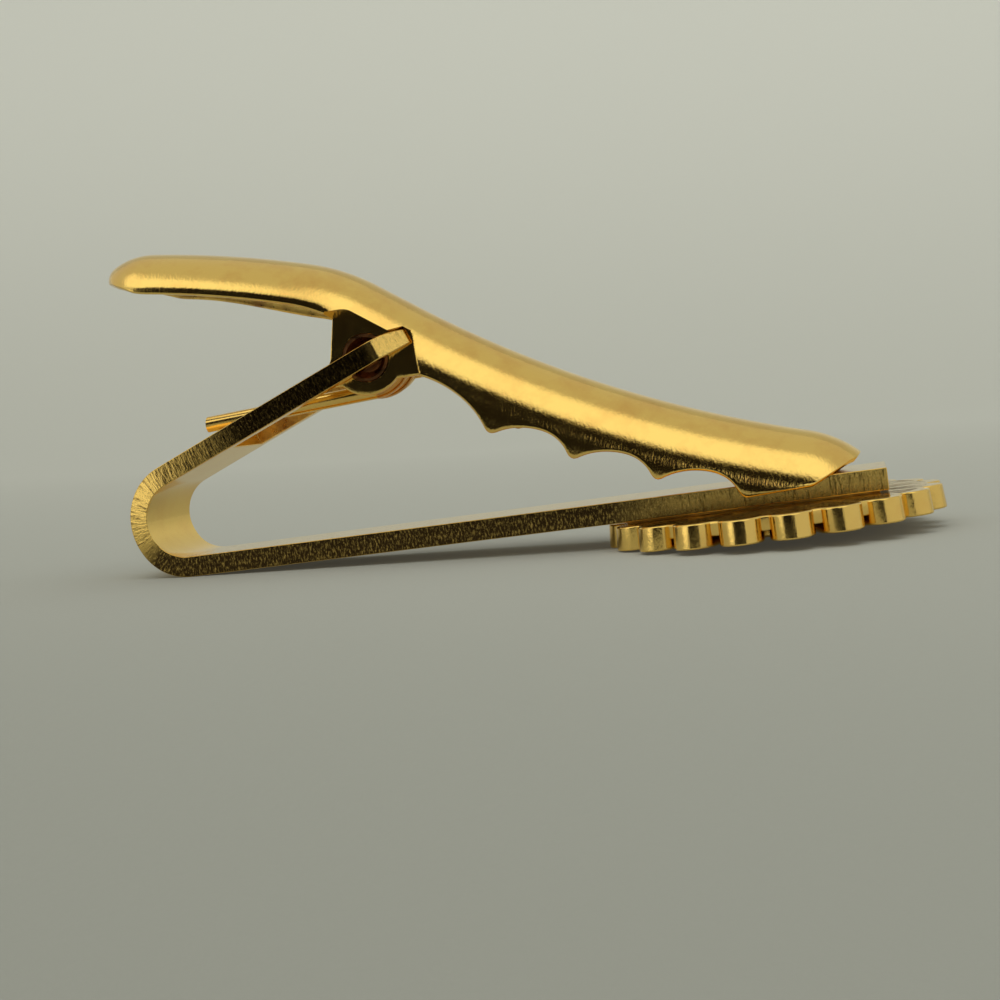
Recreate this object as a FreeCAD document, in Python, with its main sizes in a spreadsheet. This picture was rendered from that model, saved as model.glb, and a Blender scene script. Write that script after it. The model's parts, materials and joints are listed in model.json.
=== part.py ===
"""Spring-jawed tie clip: a folded bar, a sprung lever jaw, its hinge pin and coil, and a soldered rosette.

The pieces are drawn in the bar's own frame, in millimetres: X runs along the long arm from the fold to the
free end, Z runs from the front face of the long arm towards the lever, and Y is the width. At the end the
whole clip is turned to the way it lies on a table, face down on the rosette and the fold.
"""
import FreeCAD
import Part
import Sketcher
import math
import os

doc = FreeCAD.newDocument("tie_clip")

# Driving dimensions
SIZES = {
    # Folded bar
    "bar_length": 45.0,
    "bar_width": 6.0,
    "bar_thickness": 1.24,
    "bend_radius": 2.3,
    "arm_angle": 21.0,
    "arm_length": 17.6,
    "bar_corner_radius": 0.5,
    "fork_start": 4.8,
    "fork_clearance": 0.15,
    "prong_taper_length": 2.6,
    "prong_taper_depth": 0.45,
    # Hinge
    "pivot_setback": 2.9,
    "barrel_radius": 1.4,
    "barrel_end_gap": 0.06,
    "dish_depth": 0.6,
    "dish_rim": 0.18,
    "dish_floor_radius": 0.85,
    "ear_hole_clearance": 0.05,
    "stub_radius": 0.35,
    "stub_length": 0.4,
    "socket_clearance": 0.04,
    # Lever jaw, one pressed sheet
    "sheet": 0.45,
    "jaw_half_width": 3.8,
    "wall_depth": 5.2,
    "crown_height": 3.9,
    "crown_forward": 1.1,
    "hinge_angle": 34.0,
    "hinge_straight": 3.0,
    "knee_radius": 13.2,
    "knee_turn": 18.6,
    "thumb_radius": 71.0,
    "thumb_turn": 8.2,
    "thumb_tip_radius": 4.4,
    "thumb_tip_turn": 44.0,
    "thumb_depth": 2.6,
    "thumb_tip_slope": 27.0,
    "jaw_sag": 1.0,
    "nose_setback": 4.0,
    "nose_height": 2.5,
    "nose_radius": 6.6,
    "nose_turn": 26.0,
    "nose_rim_slope": 26.0,
    "skirt_drop": 0.46,
    "first_tooth": 7.84,
    "tooth_pitch": 4.6,
    "heel_tooth_depth": 4.8,
    "toe_tooth_depth": 4.2,
    "scallop_height": 1.15,
    "heel_scallop_height": 0.75,
    "heel_drop": 1.5,
    "joggle_forward": 3.25,
    "shoulder_back_depth": 2.4,
    "shoulder_front_depth": 0.95,
    "bar_side_clearance": 0.2,
    "bar_top_clearance": 0.12,
    "ear_outer": 2.1,
    "ear_radius": 2.25,
    "ear_root_depth": 0.72,
    # Torsion spring
    "wire_diameter": 0.95,
    "coil_radius": 2.0,
    "coil_pitch": 1.46,
    "frame_leg_length": 11.6,
    "lever_leg_length": 4.0,
    "leg_rest_gap": 0.05,
    # Rosette and its solder
    "rosette_setback": 6.5,
    "rosette_thickness": 1.5,
    "back_plate_thickness": 0.8,
    "back_plate_radius": 8.7,
    "centre_radius": 5.0,
    "centre_step": 0.15,
    "petal_root_radius": 4.4,
    "petal_tip_centre": 8.4,
    "petal_tip_radius": 1.18,
    "petal_root_half_width": 0.62,
    "solder_thickness": 0.1,
    "solder_side_margin": 0.4,
    "solder_end_margin": 0.6,
    # Cutting tools run this far past the metal
    "overrun": 2.0,
}
PETALS = 20
TEETH = 4
COIL_PARTS = 6
SCALLOP_PEAK_SHARE = 0.58
EAR_BACK_SHARE = 0.72

sheet = doc.addObject("Spreadsheet::Sheet", "Sizes")
for row, (alias, value) in enumerate(SIZES.items(), start=1):
    sheet.set(f"A{row}", alias)
    sheet.set(f"B{row}", str(value))
    sheet.setAlias(f"B{row}", alias)
doc.recompute()


def size(alias):
    """A driving dimension as it stands in the sheet."""
    return float(sheet.get(alias))


def side_point(x, z):
    """A point of the side view, on the middle of the width."""
    return FreeCAD.Vector(x, 0, z)


def direction(degrees):
    """Unit vector in the side view, at an angle above the long arm's line."""
    turn = math.radians(degrees)
    return side_point(math.cos(turn), math.sin(turn))


def turned(spoke, degrees):
    """A side-view vector turned upwards by an angle."""
    return FreeCAD.Rotation(FreeCAD.Vector(0, -1, 0), degrees).multVec(spoke)


# Places that several pieces share
OUTER_BEND = size("bend_radius") + size("bar_thickness")
BEND_CENTRE = side_point(OUTER_BEND, OUTER_BEND)
ARM_ALONG = direction(size("arm_angle"))
ARM_OUT = direction(size("arm_angle") + 90)


def on_arm(radius, distance):
    """A point of the short arm, by its offset from the bend's centre and its place along the arm."""
    return BEND_CENTRE + ARM_OUT * radius + ARM_ALONG * distance


PIVOT = on_arm(size("bend_radius") + size("bar_thickness") / 2, size("arm_length") - size("pivot_setback"))
EAR_INNER = size("ear_outer") - size("sheet")
ROSETTE_CENTRE = size("bar_length") - size("rosette_setback")

# The same places as formulas of the sheet
OUTER_BEND_FORMULA = "(Sizes.bend_radius + Sizes.bar_thickness)"
FORK_HALF_FORMULA = "(Sizes.ear_outer + Sizes.fork_clearance)"
ROSETTE_CENTRE_FORMULA = "Sizes.bar_length - Sizes.rosette_setback"


def arm_formulas(radius, distance):
    """Formulas of a point of the short arm in the side view."""
    return (f"{OUTER_BEND_FORMULA} - ({radius}) * sin(Sizes.arm_angle) + ({distance}) * cos(Sizes.arm_angle)",
            f"{OUTER_BEND_FORMULA} + ({radius}) * cos(Sizes.arm_angle) + ({distance}) * sin(Sizes.arm_angle)")


def new_body(label):
    body = doc.addObject("PartDesign::Body", label)
    body.Label = label
    return body


def new_sketch(body, name, role, turn=0.0, **offsets):
    """A sketch on one of the body's origin planes, turned in it and moved by formulas for x, y or z."""
    sketch = body.newObject("Sketcher::SketchObject", name)
    plane = next(item for item in body.Origin.OriginFeatures if item.Role == role)
    sketch.AttachmentSupport = [(plane, "")]
    sketch.MapMode = "FlatFace"
    spin = FreeCAD.Rotation(FreeCAD.Vector(0, 0, 1), turn)
    sketch.AttachmentOffset = FreeCAD.Placement(FreeCAD.Vector(), spin)
    for axis, formula in offsets.items():
        sketch.setExpression(f"AttachmentOffset.Base.{axis}", formula)
    return sketch


def bind(sketch, constraint, formula):
    """Add a dimension to a sketch and tie it to the sheet."""
    index = sketch.addConstraint(constraint)
    sketch.setExpression(f"Constraints[{index}]", formula)


def hold(sketch, geometry, position, place, formulas):
    """Hold a sketch point at two formulas, measured from the sketch's origin."""
    bind(sketch, Sketcher.Constraint("DistanceX", -1, 1, geometry, position, place[0]), formulas[0])
    bind(sketch, Sketcher.Constraint("DistanceY", -1, 1, geometry, position, place[1]), formulas[1])


def end_at(geometry, place):
    """Which end of a line or arc lies at a place: 1 is its start and 2 its end."""
    at_start = geometry.StartPoint.distanceToPoint(place) < geometry.EndPoint.distanceToPoint(place)
    return 1 if at_start else 2


def closed_outline(sketch, corners, arcs=None):
    """Outline through (place, formulas) corners. arcs maps a side to (middle point, centre's x, formula)."""
    arcs = arcs or {}
    count = len(corners)
    places = [FreeCAD.Vector(*place, 0) for place, _ in corners]
    for side in range(count):
        start = places[side]
        end = places[(side + 1) % count]
        if side in arcs:
            middle = FreeCAD.Vector(*arcs[side][0], 0)
            if (middle - start).cross(end - middle).z < 0:
                start, end = end, start
            sketch.addGeometry(Part.Arc(start, middle, end))
        else:
            sketch.addGeometry(Part.LineSegment(start, end))
    for side in range(count):
        after = (side + 1) % count
        meeting = places[after]
        this_end = end_at(sketch.Geometry[side], meeting)
        next_end = end_at(sketch.Geometry[after], meeting)
        sketch.addConstraint(Sketcher.Constraint("Coincident", side, this_end, after, next_end))
    for side, (place, formulas) in enumerate(corners):
        hold(sketch, side, end_at(sketch.Geometry[side], places[side]), place, formulas)
    for side, (_, centre_x, formula) in arcs.items():
        bind(sketch, Sketcher.Constraint("DistanceX", -1, 1, side, 3, centre_x), formula)


def round_outline(sketch, radius, formula, centre=(0, 0), centre_formulas=("0", "0")):
    """A circle held at its centre."""
    middle = FreeCAD.Vector(*centre, 0)
    index = sketch.addGeometry(Part.Circle(middle, FreeCAD.Vector(0, 0, 1), radius))
    hold(sketch, index, 3, centre, centre_formulas)
    bind(sketch, Sketcher.Constraint("Radius", index, radius), formula)


def extruded(body, kind, sketch, length, midplane=False, reverse=False):
    """A Pad or Pocket of a sketch, with its length tied to the sheet."""
    feature = body.newObject(f"PartDesign::{kind}", f"{sketch.Name}_{kind.lower()}")
    feature.Profile = sketch
    feature.setExpression("Length", length)
    feature.Midplane = midplane
    feature.Reversed = reverse
    doc.recompute()
    return feature


def build_frame_bar():
    """One strip: the long arm, the fold, and the forked short arm that carries the hinge."""
    body = new_body("frame_bar")
    outer = OUTER_BEND
    inner = size("bend_radius")
    reach = size("arm_length")

    def arm_corner(radius, distance, radius_formula, distance_formula):
        point = on_arm(radius, distance)
        return (point.x, point.z), arm_formulas(radius_formula, distance_formula)

    strip = new_sketch(body, "strip", "XZ_Plane")
    closed_outline(strip, [
        ((size("bar_length"), 0), ("Sizes.bar_length", "0")),
        ((outer, 0), (OUTER_BEND_FORMULA, "0")),
        arm_corner(outer, 0, OUTER_BEND_FORMULA, "0"),
        arm_corner(outer, reach, OUTER_BEND_FORMULA, "Sizes.arm_length"),
        arm_corner(inner, reach, "Sizes.bend_radius", "Sizes.arm_length"),
        arm_corner(inner, 0, "Sizes.bend_radius", "0"),
        ((outer, size("bar_thickness")), (OUTER_BEND_FORMULA, "Sizes.bar_thickness")),
        ((size("bar_length"), size("bar_thickness")), ("Sizes.bar_length", "Sizes.bar_thickness")),
    ], {
        1: ((0, outer), outer, OUTER_BEND_FORMULA),
        5: ((size("bar_thickness"), outer), outer, OUTER_BEND_FORMULA),
    })
    extruded(body, "Pad", strip, "Sizes.bar_width", midplane=True)

    over = size("overrun")
    beyond = reach + over
    start = size("fork_start")
    under_formula = "Sizes.bend_radius - Sizes.overrun"
    above_formula = f"{OUTER_BEND_FORMULA} + Sizes.overrun"
    beyond_formula = "Sizes.arm_length + Sizes.overrun"
    fork = new_sketch(body, "fork", "XZ_Plane")
    closed_outline(fork, [
        arm_corner(inner - over, start, under_formula, "Sizes.fork_start"),
        arm_corner(outer + over, start, above_formula, "Sizes.fork_start"),
        arm_corner(outer + over, beyond, above_formula, beyond_formula),
        arm_corner(inner - over, beyond, under_formula, beyond_formula),
    ])
    extruded(body, "Pocket", fork, f"2 * {FORK_HALF_FORMULA}", midplane=True)

    sockets = new_sketch(body, "sockets", "XZ_Plane")
    middle_formula = "Sizes.bend_radius + Sizes.bar_thickness / 2"
    round_outline(sockets, size("stub_radius") + size("socket_clearance"),
                  "Sizes.stub_radius + Sizes.socket_clearance",
                  (PIVOT.x, PIVOT.z), arm_formulas(middle_formula, "Sizes.arm_length - Sizes.pivot_setback"))
    extruded(body, "Pocket", sockets,
             f"2 * ({FORK_HALF_FORMULA} + Sizes.stub_length + Sizes.socket_clearance)", midplane=True)

    # Each prong narrows towards its end, cut from above the long arm upwards
    half = size("bar_width") / 2
    taper = size("prong_taper_depth") / size("prong_taper_length")
    root_x = on_arm(outer, reach - size("prong_taper_length")).x
    tip_x = on_arm(outer, beyond).x
    tip_half = half - taper * (tip_x - root_x)
    root_formula = arm_formulas(OUTER_BEND_FORMULA, "Sizes.arm_length - Sizes.prong_taper_length")[0]
    tip_formula = arm_formulas(OUTER_BEND_FORMULA, beyond_formula)[0]
    taper_formula = "Sizes.prong_taper_depth / Sizes.prong_taper_length"
    tip_half_formula = f"(Sizes.bar_width / 2 - {taper_formula} * (({tip_formula}) - ({root_formula})))"
    outside_formula = "(Sizes.bar_width / 2 + Sizes.overrun)"
    for side, name in ((-1, "near"), (1, "far")):
        prong = new_sketch(body, f"{name}_prong", "XY_Plane", z=OUTER_BEND_FORMULA)
        closed_outline(prong, [
            ((root_x, side * half), (root_formula, f"{side} * Sizes.bar_width / 2")),
            ((tip_x, side * tip_half), (tip_formula, f"{side} * {tip_half_formula}")),
            ((tip_x, side * (half + over)), (tip_formula, f"{side} * {outside_formula}")),
            ((root_x, side * (half + over)), (root_formula, f"{side} * {outside_formula}")),
        ])
        extruded(body, "Pocket", prong, "Sizes.arm_length", reverse=True)

    # Corners of the free end, seen from the front
    cut_strip = body.Tip
    end_edges = []
    for number, edge in enumerate(cut_strip.Shape.Edges, start=1):
        box = edge.BoundBox
        if box.XMin > size("bar_length") - size("bar_corner_radius") and box.ZLength > box.YLength:
            end_edges.append(f"Edge{number}")
    corners = body.newObject("PartDesign::Fillet", "free_end_corners")
    corners.Base = (cut_strip, end_edges)
    corners.setExpression("Radius", "Sizes.bar_corner_radius")
    doc.recompute()
    body.Tip = corners
    return body


def build_hinge_pin():
    """A barrel that fills the ears' holes, with dished ends and a stub at each end seated in the prongs."""
    body = new_body("hinge_pin")
    barrel = size("ear_outer") + size("barrel_end_gap")
    tip = size("ear_outer") + size("fork_clearance") + size("stub_length")
    barrel_formula = "(Sizes.ear_outer + Sizes.barrel_end_gap)"
    tip_formula = f"({FORK_HALF_FORMULA} + Sizes.stub_length)"
    dish_formula = f"({barrel_formula} - Sizes.dish_depth)"
    profile = [
        (tip, 0, tip_formula, "0"),
        (tip, size("stub_radius"), tip_formula, "Sizes.stub_radius"),
        (barrel - size("dish_depth"), size("stub_radius"), dish_formula, "Sizes.stub_radius"),
        (barrel - size("dish_depth"), size("dish_floor_radius"), dish_formula, "Sizes.dish_floor_radius"),
        (barrel, size("barrel_radius") - size("dish_rim"), barrel_formula,
         "Sizes.barrel_radius - Sizes.dish_rim"),
        (barrel, size("barrel_radius"), barrel_formula, "Sizes.barrel_radius"),
    ]
    near_end = [((-along, out), (f"-1 * {place}", rise)) for along, out, place, rise in profile]
    far_end = [((along, out), (place, rise)) for along, out, place, rise in reversed(profile)]
    section = new_sketch(body, "half_section", "YZ_Plane")
    closed_outline(section, near_end + far_end)
    turning = body.newObject("PartDesign::Revolution", "turned_pin")
    turning.Profile = section
    turning.ReferenceAxis = (section, ["H_Axis"])
    turning.Angle = 360
    body.Placement = FreeCAD.Placement(PIVOT, FreeCAD.Rotation())
    return body


class Ridge:
    """Runs of the lever's ridge in the side view, from the thumb tip towards the nose.

    A run is (start, heading, radius, extent): an arc with a signed sweep, or a line where radius is None.
    Any depth under the ridge follows the same runs on concentric arcs.
    """

    def __init__(self, runs):
        self.runs = runs

    def edges(self, depth):
        """The runs, moved into the lever by a depth square to the ridge."""
        result = []
        for start, heading, radius, extent in self.runs:
            first = start + direction(heading - 90) * depth
            if radius is None:
                result.append(Part.LineSegment(first, first + direction(heading) * extent).toShape())
                continue
            centre = arc_centre(start, heading, radius, extent)
            middle = centre + turned(first - centre, extent / 2)
            last = centre + turned(first - centre, extent)
            result.append(Part.Arc(first, middle, last).toShape())
        return result

    def place(self, depth):
        """Where the ridge starts, at a depth."""
        start, heading, _, _ = self.runs[0]
        return start + direction(heading - 90) * depth


def arc_centre(start, heading, radius, sweep):
    """Centre of an arc that leaves a place along a heading and turns up or down."""
    return start + direction(heading + math.copysign(90, sweep)) * radius


def jaw_ridge():
    """A hollow-backed arc from above the hinge to the nose, then the nose's own bend."""
    uphill = direction(90 - size("hinge_angle"))
    downhill = direction(-size("hinge_angle"))
    start = PIVOT + uphill * size("crown_height") + downhill * size("crown_forward")
    nose_x = size("bar_length") - size("nose_setback")
    nose = side_point(nose_x, size("bar_thickness") + size("nose_height"))
    chord = nose - start
    half = chord.Length / 2
    radius = (half ** 2 + size("jaw_sag") ** 2) / (2 * size("jaw_sag"))
    half_sweep = math.degrees(math.asin(half / radius))
    middle_heading = math.degrees(math.atan2(chord.z, chord.x))
    return Ridge([
        (start, middle_heading - half_sweep, radius, 2 * half_sweep),
        (nose, middle_heading + half_sweep, size("nose_radius"), -size("nose_turn")),
    ])


def thumb_ridge(jaw):
    """The thumb piece's ridge, which meets the jaw's first run with no corner."""
    end, heading, _, _ = jaw.runs[0]
    start = end - direction(heading) * size("hinge_straight")
    runs = [(start, heading, None, size("hinge_straight"))]
    for name in ("knee", "thumb", "thumb_tip"):
        radius = size(f"{name}_radius")
        turn = size(f"{name}_turn")
        centre = arc_centre(start, heading, radius, -turn)
        start = centre + turned(start - centre, turn)
        heading += turn
        runs.insert(0, (start, heading, radius, -turn))
    return Ridge(runs)


def later_part(run, share):
    """The last share of an arc run."""
    start, heading, radius, sweep = run
    skipped = sweep * (1 - share)
    centre = arc_centre(start, heading, radius, sweep)
    return centre + turned(start - centre, skipped), heading + skipped, radius, sweep * share


def arch_solid(ridge, radius, top, foot):
    """Half-round arch with straight legs, from a depth at its top to a depth at its foot, along a ridge."""
    across = FreeCAD.Vector(0, radius, 0)
    crown = ridge.place(top)
    spring = ridge.place(top + radius)
    base = ridge.place(foot)
    outline = [Part.Arc(spring - across, crown, spring + across).toShape()]
    corners = [spring + across, base + across, base - across, spring - across]
    outline += [Part.LineSegment(a, b).toShape() for a, b in zip(corners, corners[1:])]
    return Part.Wire(ridge.edges(0)).makePipeShell([Part.Wire(outline)], True, False)


def slab(edges, inner, outer):
    """A side-view outline carried across the width, on both sides, between two distances from the middle."""
    face = Part.Face(Part.Wire(Part.sortEdges(edges)[0]))
    across = FreeCAD.Vector(0, outer - inner, 0)
    far = face.translated(FreeCAD.Vector(0, inner, 0)).extrude(across)
    near = face.translated(FreeCAD.Vector(0, -inner, 0)).extrude(across * -1)
    return far.fuse(near)


def polyline(points):
    return [Part.LineSegment(a, b).toShape() for a, b in zip(points, points[1:])]


def under_jaw(jaw, distance, depth):
    """A point under the jaw, by its distance along the jaw's arc and its depth."""
    start, heading, radius, sweep = jaw.runs[0]
    centre = arc_centre(start, heading, radius, sweep)
    spoke = turned(start - centre, math.degrees(distance / radius))
    return centre + spoke * ((radius + depth) / radius)


def scallop(tip, following, height):
    """Two arcs from one tooth tip to the next, which meet at the top of the arch between them."""
    chord = following - tip
    along = chord * (1 / chord.Length)
    up = turned(along, 90)
    peak = tip + chord * SCALLOP_PEAK_SHARE + up * height
    arcs = []
    for start, end in ((tip, peak), (peak, following)):
        reach = (end - start).dot(along)
        radius = (reach ** 2 + height ** 2) / (2 * height)
        centre = peak - up * radius
        bisector = (start - centre) + (end - centre)
        middle = centre + bisector * (radius / bisector.Length)
        arcs.append(Part.Arc(start, middle, end).toShape())
    return arcs


def tooth_tips(jaw):
    """The teeth's points, evenly spaced and a little shorter towards the nose."""
    tips = []
    for number in range(TEETH):
        toe_share = number / (TEETH - 1)
        depth = size("heel_tooth_depth") * (1 - toe_share) + size("toe_tooth_depth") * toe_share
        tips.append(under_jaw(jaw, size("first_tooth") + number * size("tooth_pitch"), depth))
    return tips


def build_lever_jaw():
    """Pressed sheet: the thumb piece, a pinched waist with two ears, and the toothed half-round jaw."""
    wide = size("jaw_half_width")
    gauge = size("sheet")
    over = size("overrun")
    jaw = jaw_ridge()
    thumb = thumb_ridge(jaw)
    waist = Ridge([later_part(thumb.runs[-2], EAR_BACK_SHARE), thumb.runs[-1]])
    thumb_solid = arch_solid(thumb, wide, 0, wide + gauge)
    jaw_solid = arch_solid(jaw, wide, 0, size("wall_depth"))
    thumb_shell = thumb_solid.cut(arch_solid(thumb, wide - gauge, gauge, wide + 2 * gauge))
    jaw_shell = jaw_solid.cut(arch_solid(jaw, wide - gauge, gauge, size("wall_depth") + gauge))
    floor = -wide

    # The shoulder line over the ears, from the thumb's rim down to the front of the waist
    joggle_x = PIVOT.x + size("joggle_forward")
    back = waist.place(size("shoulder_back_depth"))
    front = jaw.place(size("shoulder_front_depth"))
    fall = direction(jaw.runs[0][1])
    corner = front + fall * ((joggle_x - front.x) / fall.x)
    heel = side_point(joggle_x, PIVOT.z - size("heel_drop"))

    # The thumb's rim is parallel to its ridge, and rises along a slope to the rounded tip
    pad_ridge = Ridge([thumb.runs[1], thumb.runs[2]])
    rim = pad_ridge.edges(size("thumb_depth"))[:1]
    rim_start = pad_ridge.place(size("thumb_depth"))
    rim_end = rim[0].Vertexes[-1].Point
    tip = rim_start + direction(180 - size("thumb_tip_slope")) * (2 * wide)
    past = side_point(front.x + over, front.z)
    rim += polyline([rim_end, back, front, past, side_point(past.x, floor), side_point(tip.x, floor), tip,
                     rim_start])
    thumb_shell = thumb_shell.cut(slab(rim, 0, wide + over))

    # The jaw's rim: the heel, the scalloped teeth, the skirt beside the bar and the nose
    tips = tooth_tips(jaw)
    rim = scallop(heel, tips[0], size("heel_scallop_height"))
    for point, following in zip(tips, tips[1:]):
        rim += scallop(point, following, size("scallop_height"))
    skirt = side_point(size("bar_length") - size("nose_setback"), size("bar_thickness") - size("skirt_drop"))
    nose = skirt + direction(size("nose_rim_slope")) * (2 * wide)
    before = front - fall * (2 * wide)
    rim += polyline([tips[-1], skirt, nose, side_point(nose.x, floor), side_point(before.x, floor), before,
                     corner, heel])
    jaw_shell = jaw_shell.cut(slab(rim, 0, wide + over))

    # The ledge over each ear, and the step from the ear out to the jaw's wall
    lift = direction(90) * gauge
    ledge = polyline([back, front, corner, corner + lift, front + lift, back + lift, back])
    step_top = corner + lift
    forward = direction(0) * gauge
    step = polyline([heel, heel + forward, step_top + forward, step_top, heel])
    envelope = thumb_solid.fuse(jaw_solid)
    ledges = slab(ledge, EAR_INNER, wide + over).common(envelope)
    steps = slab(step, EAR_INNER, wide + over).common(jaw_solid)

    # Flat ears with a round lobe about the pivot
    lobe = size("ear_radius")
    lobe_left = PIVOT - side_point(lobe, 0)
    lobe_right = PIVOT + side_point(math.sqrt(lobe ** 2 - size("heel_drop") ** 2), -size("heel_drop"))
    lobe_bottom = PIVOT - side_point(0, lobe)
    root = size("ear_root_depth")
    ear = waist.edges(root)
    ear += polyline([jaw.place(root), corner + forward, heel + forward, lobe_right])
    ear.append(Part.Arc(lobe_right, lobe_bottom, lobe_left).toShape())
    ear += polyline([lobe_left, waist.place(root)])
    ears = slab(ear, EAR_INNER, size("ear_outer"))

    lever = thumb_shell.multiFuse([jaw_shell, ledges, steps, ears])
    hole = size("barrel_radius") + size("ear_hole_clearance")
    across = FreeCAD.Vector(0, 1, 0)
    lever = lever.cut(Part.makeCylinder(hole, 2 * wide, PIVOT - across * wide, across))
    bar_room = size("bar_width") / 2 + size("bar_side_clearance")
    bar_top = size("bar_thickness") + size("bar_top_clearance")
    lever = lever.cut(Part.makeBox(size("bar_length") + over, 2 * bar_room, bar_top - floor,
                                   FreeCAD.Vector(0, -bar_room, floor)))
    feature = doc.addObject("Part::Feature", "lever_jaw")
    feature.Label = "lever_jaw"
    feature.Shape = lever.removeSplitter()
    return feature


def arc_along(start, tangent, end):
    """The arc that leaves a place along a tangent and ends at another place."""
    chord = end - start
    unit = chord * (1 / chord.Length)
    bulge = unit * tangent.dot(unit) - tangent
    half_turn = tangent.getAngle(chord)
    rise = chord.Length / 2 * math.tan(half_turn / 2)
    return Part.Arc(start, start + chord / 2 - bulge * (rise / bulge.Length), end)


def biarc(start, start_tangent, end, end_tangent):
    """Two arcs that join two places smoothly, each leaving along its tangent."""
    chord = end - start
    both = start_tangent + end_tangent
    spread = 2 * (1 - start_tangent.dot(end_tangent))
    pull = chord.dot(both)
    reach = (math.sqrt(pull ** 2 + spread * chord.dot(chord)) - pull) / spread
    meeting = (start + start_tangent * reach + end - end_tangent * reach) / 2
    first = arc_along(start, start_tangent, meeting)
    second = arc_along(end, end_tangent * -1, meeting)
    return [first.toShape(), second.toShape()]


def build_torsion_spring():
    """One wire: a leg through the fork, the coil about the pin, and a leg under the thumb piece."""
    wire_radius = size("wire_diameter") / 2
    coil = size("coil_radius")
    rest_edge = on_arm(OUTER_BEND, size("fork_start"))
    span = PIVOT - rest_edge
    fit = math.asin((coil + wire_radius + size("leg_rest_gap")) / span.Length)
    frame_heading = math.degrees(math.atan2(span.z, span.x) - fit)
    lever_heading = 180 + jaw_ridge().runs[0][1]
    first_angle = frame_heading - 90
    sweep = lever_heading - 90 + 360 - first_angle
    width = size("coil_pitch") * sweep / 360
    slope = width / math.radians(sweep)

    def on_coil(part):
        """Place and tangent of the wire's middle at one of the coil's parts."""
        share = part / COIL_PARTS
        spoke = direction(first_angle + sweep * share)
        place = PIVOT + spoke * coil + FreeCAD.Vector(0, width * (share - 1 / 2), 0)
        tangent = turned(spoke, 90)
        if 0 < part < COIL_PARTS:
            tangent = tangent * coil + FreeCAD.Vector(0, slope, 0)
            tangent.normalize()
        return place, tangent

    stations = [on_coil(part) for part in range(COIL_PARTS + 1)]
    first_place, first_tangent = stations[0]
    last_place, last_tangent = stations[-1]
    frame_end = first_place - first_tangent * size("frame_leg_length")
    lever_end = last_place + last_tangent * size("lever_leg_length")
    edges = [Part.LineSegment(frame_end, first_place).toShape()]
    for (start, tangent), (end, end_tangent) in zip(stations, stations[1:]):
        edges += biarc(start, tangent, end, end_tangent)
    edges.append(Part.LineSegment(last_place, lever_end).toShape())
    path = Part.Wire(Part.sortEdges(edges)[0])
    section = Part.Wire(Part.makeCircle(wire_radius, frame_end, first_tangent))
    spring = path.makePipeShell([section], True, False)
    report_spring(path, spring, wire_radius)
    feature = doc.addObject("Part::Feature", "torsion_spring")
    feature.Label = "torsion_spring"
    feature.Shape = spring
    return feature


def report_spring(path, spring, wire_radius):
    """Print the wire's least gap to itself, measured on points, and its volume against its length."""
    count = int(path.Length / wire_radius * 4)
    points = path.discretize(count)
    step = path.Length / (count - 1)
    apart = int(math.pi * size("coil_radius") / step)
    gaps = [points[i].distanceToPoint(points[j]) for i in range(count) for j in range(i + apart, count)]
    section = math.pi * wire_radius ** 2
    print("spring gap to itself", round(min(gaps) - 2 * wire_radius, 3))
    print("spring volume over section times length", round(spring.Volume / (section * path.Length), 4))


def build_rosette():
    """Round rosette with a back plate, a ring of round-ended petals and a plain flat centre."""
    body = new_body("rosette")
    place = {"x": ROSETTE_CENTRE_FORMULA, "z": "-1 * Sizes.solder_thickness"}
    plate = new_sketch(body, "back_plate", "XY_Plane", **place)
    round_outline(plate, size("back_plate_radius"), "Sizes.back_plate_radius")
    extruded(body, "Pad", plate, "Sizes.back_plate_thickness", reverse=True)

    centre = new_sketch(body, "centre", "XY_Plane", **place)
    round_outline(centre, size("centre_radius"), "Sizes.centre_radius")
    extruded(body, "Pad", centre, "Sizes.rosette_thickness", reverse=True)

    petal = new_sketch(body, "petal", "XY_Plane", 180 / PETALS, **place)
    root = size("petal_root_radius")
    root_half = size("petal_root_half_width")
    tip = size("petal_tip_centre")
    tip_half = size("petal_tip_radius")
    closed_outline(petal, [
        ((root, -root_half), ("Sizes.petal_root_radius", "-1 * Sizes.petal_root_half_width")),
        ((tip, -tip_half), ("Sizes.petal_tip_centre", "-1 * Sizes.petal_tip_radius")),
        ((tip, tip_half), ("Sizes.petal_tip_centre", "Sizes.petal_tip_radius")),
        ((root, root_half), ("Sizes.petal_root_radius", "Sizes.petal_root_half_width")),
    ], {1: ((tip + tip_half, 0), tip, "Sizes.petal_tip_centre")})
    leaf = extruded(body, "Pad", petal, "Sizes.rosette_thickness - Sizes.centre_step", reverse=True)
    ring = body.newObject("PartDesign::PolarPattern", "ring_of_petals")
    ring.Originals = [leaf]
    ring.Axis = (petal, ["N_Axis"])
    ring.Angle = 360
    ring.Occurrences = PETALS
    body.Tip = ring
    return body


def build_solder_seam():
    """The thin layer of solder between the bar's front face and the rosette's back."""
    seam = doc.addObject("Part::Box", "solder_seam")
    seam.Label = "solder_seam"
    start = "(Sizes.bar_length - Sizes.rosette_setback - Sizes.back_plate_radius + Sizes.solder_end_margin)"
    seam.setExpression("Length", f"Sizes.bar_length - Sizes.bar_corner_radius - {start}")
    seam.setExpression("Width", "Sizes.bar_width - 2 * Sizes.solder_side_margin")
    seam.setExpression("Height", "Sizes.solder_thickness")
    seam.setExpression("Placement.Base.x", start)
    seam.setExpression("Placement.Base.y", "Sizes.solder_side_margin - Sizes.bar_width / 2")
    seam.setExpression("Placement.Base.z", "-1 * Sizes.solder_thickness")
    return seam


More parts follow.
